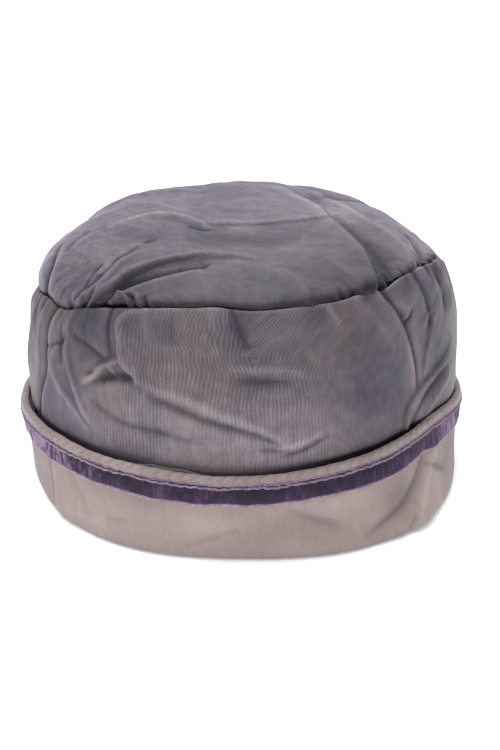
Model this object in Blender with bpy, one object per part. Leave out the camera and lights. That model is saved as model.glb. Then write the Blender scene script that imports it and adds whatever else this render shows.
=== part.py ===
"""A soft silk bonnet: an oval cap with a domed tip, a turned-up cuff, a bias-bound edge
and a narrow velvet ribbon. It rests on the fold of its cuff.

Units are metres, +Z is up, and the front of the bonnet faces -Y. The sizes in the tables are
millimetres. A bearing is an angle in plan, in degrees: 0 is the front, 90 the right-hand side
(+X), -90 the left-hand side and 180 the back. A reach is a distance in plan from the axis.
"""

import collections
import math

import bmesh
import bpy
import numpy as np

MM = 0.001

# Cloth thicknesses
SILK_WALL = 2.0
CUFF_WALL = 2.6
FACING_WALL = 1.0
RIBBON_WALL = 1.0

# The gap that separate pieces keep, and those of the two bands laid along the cuff's wall
GAP = 0.3
RIBBON_GAP = 0.6
FACING_GAP = 0.9

# The cuff lies on the flat of its fold. Its binding is an oval roll that sits on its edge.
FOLD_WALL = 3.0
FOLD_WIDTH = 12.0
BINDING_HEIGHT = 4.6
BINDING_DEPTH = 3.8
BINDING_SIDES = 8
CUFF_INSET = 1.5
RIBBON_HEIGHT = 9.6
FACING_TOP = 0.6

# The top of the crown, in the middle of its tip
TIP_TOP = 127.0

# How finely the cloths are divided, round the bonnet and up the crown
STEPS = 72
SIDE_ROWS = 14
TIP_ROWS = 9

# The length of cloth in one degree of bearing, as the side's folds are laid out
CLOTH_PER_DEGREE = 1.8


def table(columns, *rows):
    """A short table whose values are read by the name of their column."""
    row_type = collections.namedtuple("Row", columns)
    return tuple(row_type(*row) for row in rows)


# The plan and the heights by bearing. fold: outermost reach of the cuff's fold. edge: reach of the
# binding, edge_z: the height of its middle. belly: widest reach of the crown's side. seam, seam_z:
# where the side meets the tip. full: how far the tip stands over its seam, from 0 to 1.
OUTLINE = table(
    "bearing fold edge edge_z belly seam seam_z full",
    (-180, 108.0, 112.0, 37.0, 109.0, 102.0, 91.0, 0.4),
    (-150, 106.5, 110.0, 37.0, 107.0, 100.5, 88.0, 0.6),
    (-120, 102.0, 106.0, 36.0, 102.0, 95.5, 86.0, 0.85),
    (-90, 99.6, 104.6, 35.5, 100.3, 94.5, 90.0, 0.95),
    (-60, 100.8, 105.5, 39.0, 100.5, 95.5, 97.0, 0.9),
    (-30, 107.5, 109.5, 40.0, 104.0, 100.5, 109.0, 0.8),
    (0, 107.0, 112.3, 39.8, 106.5, 103.0, 115.0, 0.7),
    (30, 111.0, 107.5, 41.0, 103.0, 99.5, 116.5, 0.5),
    (60, 106.4, 101.0, 42.0, 97.5, 94.0, 114.0, 0.1),
    (90, 100.6, 104.5, 36.5, 101.6, 93.4, 100.5, 0.0),
    (120, 102.0, 105.8, 37.5, 102.0, 94.0, 96.5, 0.3),
    (150, 106.5, 110.0, 36.5, 106.5, 99.5, 94.0, 0.5),
)

# The side from its hem up. reach_of: the outline's reach that a level keeps to, inset: how far in
# from it. share: height, -1 at the table, 0 at the cuff's edge and 1 at the seam. up: added height.
SIDE_LEVELS = table(
    "level reach_of inset share up",
    ("hem", "fold", 8.4, -1.00, FOLD_WALL + 2 * GAP),
    ("heel", "fold", 8.2, -1.00, 9.0),
    ("throat", "edge", 8.6, -0.10, 0.0),
    ("overhang", "belly", 1.2, 0.00, 7.0),
    ("belly", "belly", 0.0, 0.30, 0.0),
    ("chest", "belly", 0.8, 0.64, 0.0),
    ("shoulder", "seam", -3.0, 0.88, 0.0),
    ("seam", "seam", 0.0, 1.00, 0.0),
)

# The tip from its seam to its middle, where it lies flat over its seam and where it stands puffed
# over it. reach: share of the seam's reach. rise: share of the rise from the seam to the middle.
TIP_RINGS = table(
    "ring flat_reach flat_rise puffed_reach puffed_rise",
    ("seam", 1.00, 0.00, 1.00, 0.00),
    ("roll", 0.998, 0.07, 1.006, 0.14),
    ("brow", 0.955, 0.18, 0.975, 0.34),
    ("shelf", 0.88, 0.36, 0.90, 0.54),
    ("slope", 0.76, 0.62, 0.76, 0.75),
    ("dome", 0.56, 0.85, 0.56, 0.91),
    ("crest", 0.29, 0.97, 0.29, 0.99),
    ("middle", 0.00, 1.00, 0.00, 1.00),
)

# The cuff's section, from the inner lip of its fold, along the table and up its outer side.
# from_fold: share of the way in reach from the fold, 0, to the edge, 1. inset: how far in from
# there. rise: height as a share of the cuff's height. up: added height.
CUFF_SECTION = table(
    "point from_fold inset rise up",
    ("lip", 0.00, FOLD_WIDTH, 0.00, 1.2),
    ("flat, inner end", 0.00, FOLD_WIDTH - 1.2, 0.00, 0.0),
    ("flat, outer end", 0.00, 4.0, 0.00, 0.0),
    ("round", 0.00, 1.2, 0.00, 1.2),
    ("foot", 0.00, 0.0, 0.00, 4.6),
    ("lower", 0.20, 0.0, 0.34, 0.0),
    ("upper", 0.65, 0.0, 0.68, 0.0),
    ("edge", 1.00, 0.0, 1.00, 0.0),
    ("edge, inner", 1.00, CUFF_WALL, 1.00, 0.0),
    ("upper, inner", 0.65, CUFF_WALL, 0.68, 0.0),
    ("lower, inner", 0.20, CUFF_WALL, 0.34, 0.0),
    ("corner, inner", 0.00, CUFF_WALL + 1.8, 0.00, FOLD_WALL),
    ("shelf, inner end", 0.00, FOLD_WIDTH - 1.2, 0.00, FOLD_WALL),
    ("lip, upper", 0.00, FOLD_WIDTH, 0.00, FOLD_WALL - 1.2),
)

# The main folds. Each runs from one point to another and bends sideways by bow in its middle.
# push: how far its middle stands out, or lies in where it is negative. step: how much higher the
# cloth stands on the left of the way from start to end than on the right. width: its half width.
FOLD_COLUMNS = "fold start end bow width push step"

# On the tip the points are (x, y) in plan.
TIP_FOLDS = table(
    FOLD_COLUMNS,
    ("long step", (12, 40), (58, -72), 5, 7.0, -0.6, -3.4),
    ("gather pit", (54, -70), (64, -78), 0, 6.0, -3.2, 0.0),
    ("cross crease", (-20, -18), (40, -16), 3, 7.0, -1.6, 1.6),
    ("left tuck", (-46, -6), (-18, -20), 2, 6.0, 1.6, 0.0),
    ("great fold", (-60, -78), (-12, -71), 6, 6.0, -3.2, 0.0),
    ("great fold's ridge", (-60, -72), (8, -70), 12, 7.5, 2.4, 0.0),
    ("front brow", (-52, -84), (-24, -80), 2, 6.0, 1.6, 0.0),
    ("left tuck by the seam", (-70, -66), (-54, -56), 0, 5.5, -1.8, 0.0),
    ("left hollow", (-84, -4), (-84, -44), 0, 7.0, -1.4, 0.0),
    ("right hollow", (76, -8), (80, -46), 0, 6.5, -2.6, 0.0),
    ("right brow", (40, -66), (54, -82), 0, 6.0, 1.6, 0.0),
    ("back hollow", (-30, 62), (34, 58), 8, 14.0, -2.0, 0.0),
)

# On the side the points are (bearing, height).
SIDE_FOLDS = table(
    FOLD_COLUMNS,
    ("left pleat", (-59, 94), (-69, 38), -4, 6.0, -2.8, 0.0),
    ("block ridge", (-48, 101), (-47, 74), 3, 6.0, 1.9, 0.0),
    ("panel edge", (-30, 106), (-29, 82), 0, 6.0, 0.0, -1.8),
    ("pocket", (-38, 76), (-29, 80), 0, 5.5, -2.2, 0.0),
    ("left drag", (-57, 72), (-43, 53), 0, 6.5, 1.6, 0.0),
    ("centre dent", (-2, 110), (-2, 98), 0, 12.0, -1.4, 0.0),
    ("front hollow", (2, 82), (14, 82), 0, 6.5, -1.4, 0.0),
    ("long drag", (-13, 71), (9, 56), 4, 6.5, 1.6, -1.6),
    ("right crease", (38, 112), (52, 62), 6, 6.0, -3.0, 0.0),
    ("bubble", (46, 101), (48, 97), 0, 7.0, 1.8, 0.0),
    ("right ridge", (71, 66), (49, 42), -10, 5.5, 1.8, 0.0),
    ("right brow", (58, 112), (71, 98), 0, 6.0, 1.4, 0.0),
    ("back hollow, left", (-148, 84), (-128, 52), 4, 12.0, -2.0, 0.0),
    ("back hollow, right", (132, 86), (158, 58), -4, 12.0, -2.0, 0.0),
)

# On the cuff the points are (bearing, height), and the fold bulges where the cloth doubles.
CUFF_FOLDS = table(
    FOLD_COLUMNS,
    ("left corner", (-57, 3), (-44, 8), 0, 12.0, 2.4, 0.0),
    ("right corner", (34, 2), (50, 5), 0, 9.0, 4.0, 0.0),
    ("right slack", (52, 30), (34, 8), 3, 7.0, -1.2, 0.0),
)


def catmull(before, start, end, after, share):
    """A smooth way from start to end, aware of the values before and after them."""
    return 0.5 * (
        2.0 * start
        + (end - before) * share
        + (2.0 * before - 5.0 * start + 4.0 * end - after) * share**2
        + (3.0 * start - before - 3.0 * end + after) * share**3
    )


def outline(column, bearing):
    """A column of OUTLINE at any bearing, smooth all the way round."""
    values = [getattr(row, column) for row in OUTLINE]
    place = (bearing - OUTLINE[0].bearing) / (360.0 / len(OUTLINE))
    first = math.floor(place)
    around = [values[(first + step) % len(values)] for step in (-1, 0, 1, 2)]
    return catmull(*around, place - first)


def along(points, place):
    """The point at a place on the smooth line through points, counted in points from the first."""
    last = len(points) - 1
    first = min(int(place), last - 1)
    near = [points[min(max(first + step, 0), last)] for step in (-1, 0, 1, 2)]
    return tuple(catmull(*axis, place - first) for axis in zip(*near))


def side_height(bearing, share, up):
    edge_z = outline("edge_z", bearing)
    if share < 0.0:
        return edge_z * (1.0 + share) + up
    return edge_z + share * (outline("seam_z", bearing) - edge_z) + up


def side_profile(bearing):
    """(reach, height) of the side's levels, from the hem to the seam."""
    return [
        (outline(row.reach_of, bearing) - row.inset, side_height(bearing, row.share, row.up))
        for row in SIDE_LEVELS
    ]


def tip_profile(bearing):
    """(reach, height) of the tip's rings, from the seam to the middle."""
    seam, seam_z, full = (outline(name, bearing) for name in ("seam", "seam_z", "full"))
    rings = []
    for row in TIP_RINGS:
        reach = row.flat_reach + full * (row.puffed_reach - row.flat_reach)
        rise = row.flat_rise + full * (row.puffed_rise - row.flat_rise)
        rings.append((seam * reach, seam_z + rise * (TIP_TOP - seam_z)))
    return rings


def fold_push(x, y, folds, cloth_per_x=1.0):
    """How far the folds push the cloth out at a point that is given as the folds' points are."""
    total = 0.0
    for row in folds:
        first = np.array((row.start[0] * cloth_per_x, row.start[1]))
        way = np.array((row.end[0] * cloth_per_x, row.end[1])) - first
        length = np.hypot(*way)
        forward = way / length
        left = np.array((-forward[1], forward[0]))
        offset = np.array((x * cloth_per_x, y)) - first
        share = min(max(offset @ forward / length, 0.0), 1.0)
        middling = math.sin(math.pi * share)
        aside = (offset @ left - row.bow * middling) / row.width
        beyond = (offset @ forward - share * length) / row.width
        fade = math.exp(-(beyond**2)) * (0.45 + 0.55 * middling)
        ridge = row.push * math.exp(-(aside**2))
        ledge = row.step * 0.5 * math.tanh(aside) * math.exp(-((aside / 3.0) ** 2))
        total += fade * (ridge + ledge)
    return total


def smooth_share(value, low, high):
    """0 below low, 1 above high, and a smooth way between."""
    share = min(max((value - low) / (high - low), 0.0), 1.0)
    return share * share * (3.0 - 2.0 * share)


def spot(bearing, reach, height):
    """The point at a bearing, reach and height in millimetres, in metres."""
    angle = math.radians(bearing)
    return (reach * math.sin(angle) * MM, -reach * math.cos(angle) * MM, height * MM)


def bearings():
    return [-180.0 + 360.0 * step / STEPS for step in range(STEPS)]


def new_object(name, mesh, colour, roughness):
    """A named object with a plain cloth material, shaded smooth."""
    mesh.name = name
    mesh.shade_smooth()
    thing = bpy.data.objects.new(name, mesh)
    bpy.context.scene.collection.objects.link(thing)
    material = bpy.data.materials.new(name)
    material.use_nodes = True
    surface = material.node_tree.nodes["Principled BSDF"]
    surface.inputs["Base Color"].default_value = (*colour, 1.0)
    surface.inputs["Roughness"].default_value = roughness
    surface.inputs["Metallic"].default_value = 0.0
    mesh.materials.append(material)
    return thing


def skin_mesh(loops, closed=False, middle=None):
    """A mesh of quads between loops of points. Closed, its last loop joins the first one, and
    with a middle its last loop closes on that one point."""
    work = bmesh.new()
    rows = [[work.verts.new(point) for point in loop] for loop in loops]
    pairs = list(zip(rows, rows[1:]))
    if closed:
        pairs.append((rows[-1], rows[0]))
    for low, high in pairs:
        for step in range(STEPS):
            after = (step + 1) % STEPS
            work.faces.new((low[step], low[after], high[after], high[step]))
    if middle:
        tip = work.verts.new(middle)
        for step in range(STEPS):
            work.faces.new((rows[-1][step], rows[-1][(step + 1) % STEPS], tip))
    if closed:
        bmesh.ops.recalc_face_normals(work, faces=work.faces)
    mesh = bpy.data.meshes.new("cloth")
    work.to_mesh(mesh)
    work.free()
    return mesh


def thicken(thing, wall):
    """Gives an open cloth its thickness, all of it on the inner side."""
    cloth = thing.modifiers.new("cloth thickness", "SOLIDIFY")
    cloth.thickness = wall * MM
    cloth.offset = -1.0
    cloth.use_rim = True


def make_closed(name, sections, colour, roughness):
    """A band all round the bonnet from one closed section of (reach, height) for each bearing."""
    loops = [
        [spot(bearing, *section[point]) for bearing, section in zip(bearings(), sections)]
        for point in range(len(sections[0]))
    ]
    new_object(name, skin_mesh(loops, closed=True), colour, roughness)


def make_side():
    """The side of the crown, from its hem inside the cuff's fold to the seam of the tip."""
    profiles = [side_profile(bearing) for bearing in bearings()]
    loops = []
    for row in range(SIDE_ROWS + 1):
        place = row * (len(SIDE_LEVELS) - 1) / SIDE_ROWS
        loop = []
        for bearing, profile in zip(bearings(), profiles):
            reach, height = along(profile, place)
            edge_z = outline("edge_z", bearing)
            seam_z = outline("seam_z", bearing)
            free = smooth_share(height, edge_z, edge_z + 10.0)
            free *= 1.0 - smooth_share(height, seam_z - 8.0, seam_z)
            push = free * fold_push(bearing, height, SIDE_FOLDS, CLOTH_PER_DEGREE)
            loop.append(spot(bearing, reach + push, height))
        loops.append(loop)
    side = new_object("crown_side", skin_mesh(loops), (0.165, 0.140, 0.150), 0.5)
    thicken(side, SILK_WALL)


def make_tip():
    """The tip of the crown, from its seam to its middle."""
    profiles = [tip_profile(bearing) for bearing in bearings()]
    loops = []
    for row in range(TIP_ROWS):
        place = row * (len(TIP_RINGS) - 1) / TIP_ROWS
        loop = []
        for bearing, profile in zip(bearings(), profiles):
            reach, height = along(profile, place)
            share = reach / profile[0][0]
            x, y, _ = spot(bearing, reach / MM, height)
            push = fold_push(x, y, TIP_FOLDS) * smooth_share(place, 0.7, 2.1)
            outward = push * smooth_share(share, 0.78, 1.0)
            loop.append(spot(bearing, reach + outward, height + GAP + push - outward))
        loops.append(loop)
    middle = spot(0.0, 0.0, TIP_TOP + GAP + fold_push(0.0, 0.0, TIP_FOLDS))
    tip = new_object("crown_tip", skin_mesh(loops, middle=middle), (0.180, 0.155, 0.170), 0.5)
    thicken(tip, SILK_WALL)


def cuff_top(bearing):
    """The height of the cuff's own edge, just under its binding."""
    return outline("edge_z", bearing) - BINDING_HEIGHT / 2 - GAP


def cuff_section(bearing):
    """(reach, height) of the cuff's section, as CUFF_SECTION lists it."""
    fold = outline("fold", bearing)
    lean = outline("edge", bearing) - CUFF_INSET - fold
    section = []
    for row in CUFF_SECTION:
        height = row.rise * cuff_top(bearing) + row.up
        push = fold_push(bearing, height, CUFF_FOLDS, CLOTH_PER_DEGREE)
        push *= 1.0 - smooth_share(row.inset, 4.5, FOLD_WIDTH)
        section.append((fold + row.from_fold * lean - row.inset + push, height))
    return section


def cuff_face(bearing, height):
    """The reach of the cuff's outer side at a height."""
    names = [row.point for row in CUFF_SECTION]
    outer = cuff_section(bearing)[names.index("foot") : names.index("edge") + 1]
    return float(np.interp(height, [point[1] for point in outer], [point[0] for point in outer]))


def make_cuff():
    """The turned-up cuff: a fold that lies flat on the table, and a wall that leans out."""
    make_closed("cuff", [cuff_section(b) for b in bearings()], (0.370, 0.300, 0.290), 0.55)


def make_binding():
    """The bias binding, an oval roll on the cuff's edge, with a flat side down."""
    out_to_flats = 1.0 / math.cos(math.pi / BINDING_SIDES)
    half_depth = BINDING_DEPTH / 2 * out_to_flats
    half_height = BINDING_HEIGHT / 2 * out_to_flats
    turns = [2.0 * math.pi * (side + 0.5) / BINDING_SIDES for side in range(BINDING_SIDES)]
    sections = []
    for bearing in bearings():
        middle = outline("edge", bearing) - BINDING_DEPTH / 2
        edge_z = outline("edge_z", bearing)
        sections.append(
            [
                (middle + half_depth * math.cos(turn), edge_z + half_height * math.sin(turn))
                for turn in turns
            ]
        )
    make_closed("edge_binding", sections, (0.330, 0.265, 0.235), 0.5)


def make_band(name, heights_at, inset, wall, colour, roughness):
    """A flat band that follows the cuff's outer side, a fixed way in from it."""
    sections = []
    for bearing in bearings():
        heights = heights_at(bearing)
        outer = [(cuff_face(bearing, height) - inset, height) for height in heights]
        inner = [(reach - wall, height) for reach, height in reversed(outer)]
        sections.append(outer + inner)
    make_closed(name, sections, colour, roughness)


def make_ribbon():
    """The velvet ribbon, laid on the cuff's outer side just below the binding."""
    make_band(
        "velvet_ribbon",
        lambda bearing: (cuff_top(bearing) - RIBBON_HEIGHT, cuff_top(bearing)),
        -RIBBON_GAP - RIBBON_WALL,
        RIBBON_WALL,
        (0.055, 0.030, 0.075),
        0.8,
    )


def facing_heights(bearing):
    """The facing's levels: it follows the bends of the cuff's wall and ends above its edge."""
    bends = [row.rise for row in CUFF_SECTION if row.point in ("lower", "upper")]
    on_cuff = [rise * cuff_top(bearing) for rise in bends]
    return (*on_cuff, cuff_top(bearing), outline("edge_z", bearing) + FACING_TOP)


def make_facing():
    """The dark facing inside the cuff, whose upper edge shows behind the binding."""
    make_band(
        "cuff_facing",
        facing_heights,
        CUFF_WALL + FACING_GAP,
        FACING_WALL,
        (0.060, 0.062, 0.060),
        0.7,
    )


def clear_scene():
    for thing in list(bpy.data.objects):
        bpy.data.objects.remove(thing, do_unlink=True)


def main():
    clear_scene()
    make_side()
    make_tip()
    make_cuff()
    make_binding()
    make_ribbon()
    make_facing()


main()
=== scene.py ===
"""The looks of a soft silk bonnet: an oval cap with a domed tip, a turned-up cuff, a bias-bound
edge and a narrow velvet ribbon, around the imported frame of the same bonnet.

The tables and the shapes are in millimetres. A bearing is an angle in plan, in degrees: 0 is the
front (-Y), 90 the right-hand side (+X), -90 the left and 180 the back. A reach is a distance from
the axis.
"""

import collections
import math

import bpy
import numpy as np
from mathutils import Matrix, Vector, noise


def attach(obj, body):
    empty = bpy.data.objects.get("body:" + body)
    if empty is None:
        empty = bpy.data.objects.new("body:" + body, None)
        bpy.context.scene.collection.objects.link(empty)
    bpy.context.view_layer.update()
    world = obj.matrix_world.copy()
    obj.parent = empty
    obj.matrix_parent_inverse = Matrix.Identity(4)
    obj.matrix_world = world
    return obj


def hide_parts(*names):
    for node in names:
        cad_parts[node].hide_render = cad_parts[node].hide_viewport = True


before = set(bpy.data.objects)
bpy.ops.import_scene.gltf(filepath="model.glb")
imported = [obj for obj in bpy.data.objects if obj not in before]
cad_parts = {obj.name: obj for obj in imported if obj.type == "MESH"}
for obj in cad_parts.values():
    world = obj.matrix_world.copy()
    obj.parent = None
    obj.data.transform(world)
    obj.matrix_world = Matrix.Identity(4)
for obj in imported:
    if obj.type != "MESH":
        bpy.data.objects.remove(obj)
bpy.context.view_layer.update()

bl_info = {
    "name": "Soft silk bonnet",
    "version": (1, 0, 0),
    "blender": (4, 5, 0),
    "location": "3D View > Sidebar > Bonnet",
    "description": "Makes a soft silk bonnet with a turned-up cuff and a velvet ribbon",
    "category": "Add Mesh",
}

MM = 0.001
TURN = 2.0 * math.pi
# Millimetres of cloth to a degree of bearing.
CLOTH_PER_DEGREE = 1.8
# How far, in degrees, the points of each cloth are drawn towards the front.
FRONT_CROWDING = 26.0
# The reach at which the swells of the cuff and the bands on it are worked out.
RING_REACH = 100.0
# What the random draws of the small gathers start from.
SEED = 11


def table(columns, *rows, defaults=()):
    """A short table whose values are read by the name of their column. The last columns may have
    defaults."""
    row_type = collections.namedtuple("Row", columns, defaults=defaults)
    return tuple(row_type(*row) for row in rows)


def folds(*rows):
    """A table of folds. Each follows a smooth way through its points. width: its half width. push:
    how far its middle stands out, or lies in where it is negative. start and end: how strong it
    still is at its two ends. step: how much higher the cloth stands on the left of the way than on
    the right, and over: how far the higher cloth laps over the lower."""
    return table("fold way width push start end step over", *rows, defaults=(0.0, 0.0))


def gathers(*rows):
    """A table of small gathers where the cloth is eased into the seam. count of them between two
    bearings, how deep each is and how far it runs from the seam."""
    return table("place first last count depth length", *rows)


def stains(*rows):
    """A table of uneven fading: warm and brown where tone is above 0, cool and dark where it is
    below. A few of its rows are painted shade. wide and tall: its half widths."""
    return table("stain at wide tall tone", *rows)


def shades(*rows):
    """A table of tones. Each grows along its ramps, which are a measure's name, where the tone
    starts and where it is full."""
    return table("place tone ramps", *rows, defaults=((),))


# The plan and the heights by bearing. fold: outermost reach of the cuff's fold. edge: reach of the
# binding, edge_z: the height of its middle. belly: widest reach of the crown's side. seam, seam_z:
# where the side meets the tip. full: how far the tip stands over its seam, from 0 to 1.
OUTLINE = table(
    "bearing fold edge edge_z belly seam seam_z full",
    (-180, 108.0, 112.0, 37.0, 109.0, 102.0, 91.0, 0.4),
    (-150, 106.5, 110.0, 37.0, 107.0, 100.5, 88.0, 0.6),
    (-120, 102.0, 106.0, 36.0, 102.0, 95.5, 86.0, 0.85),
    (-90, 99.6, 104.6, 35.5, 100.3, 94.5, 90.0, 0.95),
    (-60, 100.8, 105.5, 39.0, 100.5, 95.5, 97.0, 0.9),
    (-30, 107.5, 109.5, 40.0, 104.0, 100.5, 109.0, 0.8),
    (0, 107.0, 112.3, 39.8, 106.5, 103.0, 115.0, 0.7),
    (30, 111.0, 107.5, 41.0, 103.0, 99.5, 116.5, 0.5),
    (60, 106.4, 101.0, 42.0, 97.5, 94.0, 114.0, 0.1),
    (90, 100.6, 104.5, 36.5, 101.6, 93.4, 100.5, 0.0),
    (120, 102.0, 105.8, 37.5, 102.0, 94.0, 96.5, 0.3),
    (150, 106.5, 110.0, 36.5, 106.5, 99.5, 94.0, 0.5),
)

# How far the seam between side and tip wanders up or down from seam_z.
SEAM_WAVE = table(
    "bearing rise",
    (-87, -0.9),
    (-66, 1.0),
    (-59, -1.4),
    (-53, -2.2),
    (-44, -0.4),
    (-22, 0.2),
    (-5, 0.6),
    (2, -1.9),
    (20, -2.9),
    (28, -2.7),
    (33, -1.6),
    (40, -3.4),
    (46, -0.4),
    (66, 0.8),
    (76, 2.8),
    (92, 0.6),
    (120, -0.8),
    (150, 0.9),
    (180, -0.6),
    (210, 0.7),
    (240, -0.7),
)

# The side from its hem up to where it rolls into the seam. reach_of: the outline's reach that a
# level keeps to, inset: how far in from it. share: height, -1 at the table, 0 at the cuff's edge and
# 1 at the seam. up: added height. at_sides: how much lower and further out it is at the two sides.
# free: how far the folds move the cloth there.
SIDE_LEVELS = table(
    "level reach_of inset share up at_sides free",
    ("hem", "fold", 8.4, -1.00, 3.6, 0.0, 0.0),
    ("heel", "fold", 8.2, -1.00, 9.0, 0.0, 0.0),
    ("throat", "edge", 7.2, -0.04, 0.0, 0.4, 0.1),
    ("overhang", "belly", 1.3, 0.00, 4.8, 0.9, 0.7),
    ("belly", "belly", 0.0, 0.30, 0.0, 0.0, 1.0),
    ("chest", "belly", 0.8, 0.64, 0.0, 0.0, 1.0),
    ("shoulder", "seam", -3.0, 0.88, 0.0, 0.0, 1.0),
    ("crest", "seam", -0.7, 1.00, -1.2, 0.0, 0.6),
    ("roll", "seam", 1.0, 1.00, 0.5, 0.0, 0.35),
    ("tuck", "seam", 3.2, 1.00, -1.8, 0.0, 0.0),
)
# How fully at_sides holds, by the ramps that shades() tells of. aside: how far the bearing is from 0.
AT_SIDES = (("aside", 25, 60), ("aside", 150, 120))
# Where the rows of the side's mesh lie: shares of the rows with their levels.
SIDE_ROWS = ((0.0, 0.0), (0.06, 2.4), (0.88, 6.6), (1.0, len(SIDE_LEVELS) - 1))

# The tip from the ditch of its seam to its middle, where it lies flat over its seam and where it
# stands puffed over it. reach: share of the seam's reach, less inset. rise: share of the rise from
# the seam to the middle, plus up. free: how far the folds move the cloth there.
TIP_RINGS = table(
    "ring flat_reach flat_rise puffed_reach puffed_rise inset up free",
    ("tuck", 1.00, 0.00, 1.00, 0.00, 4.8, -4.0, 0.0),
    ("ditch", 1.00, 0.00, 1.00, 0.02, 2.1, -0.8, 0.5),
    ("roll", 0.992, 0.05, 1.008, 0.13, 1.1, 0.1, 0.85),
    ("brow", 0.955, 0.18, 0.975, 0.34, 0.0, 0.3, 1.0),
    ("shelf", 0.88, 0.36, 0.90, 0.54, 0.0, 0.3, 1.0),
    ("slope", 0.76, 0.62, 0.76, 0.75, 0.0, 0.3, 1.0),
    ("dome", 0.56, 0.85, 0.56, 0.91, 0.0, 0.3, 1.0),
    ("crest", 0.29, 0.97, 0.29, 0.99, 0.0, 0.3, 1.0),
    ("middle", 0.00, 1.00, 0.00, 1.00, 0.0, 0.3, 1.0),
)
TIP_TOP = 127.0

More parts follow.
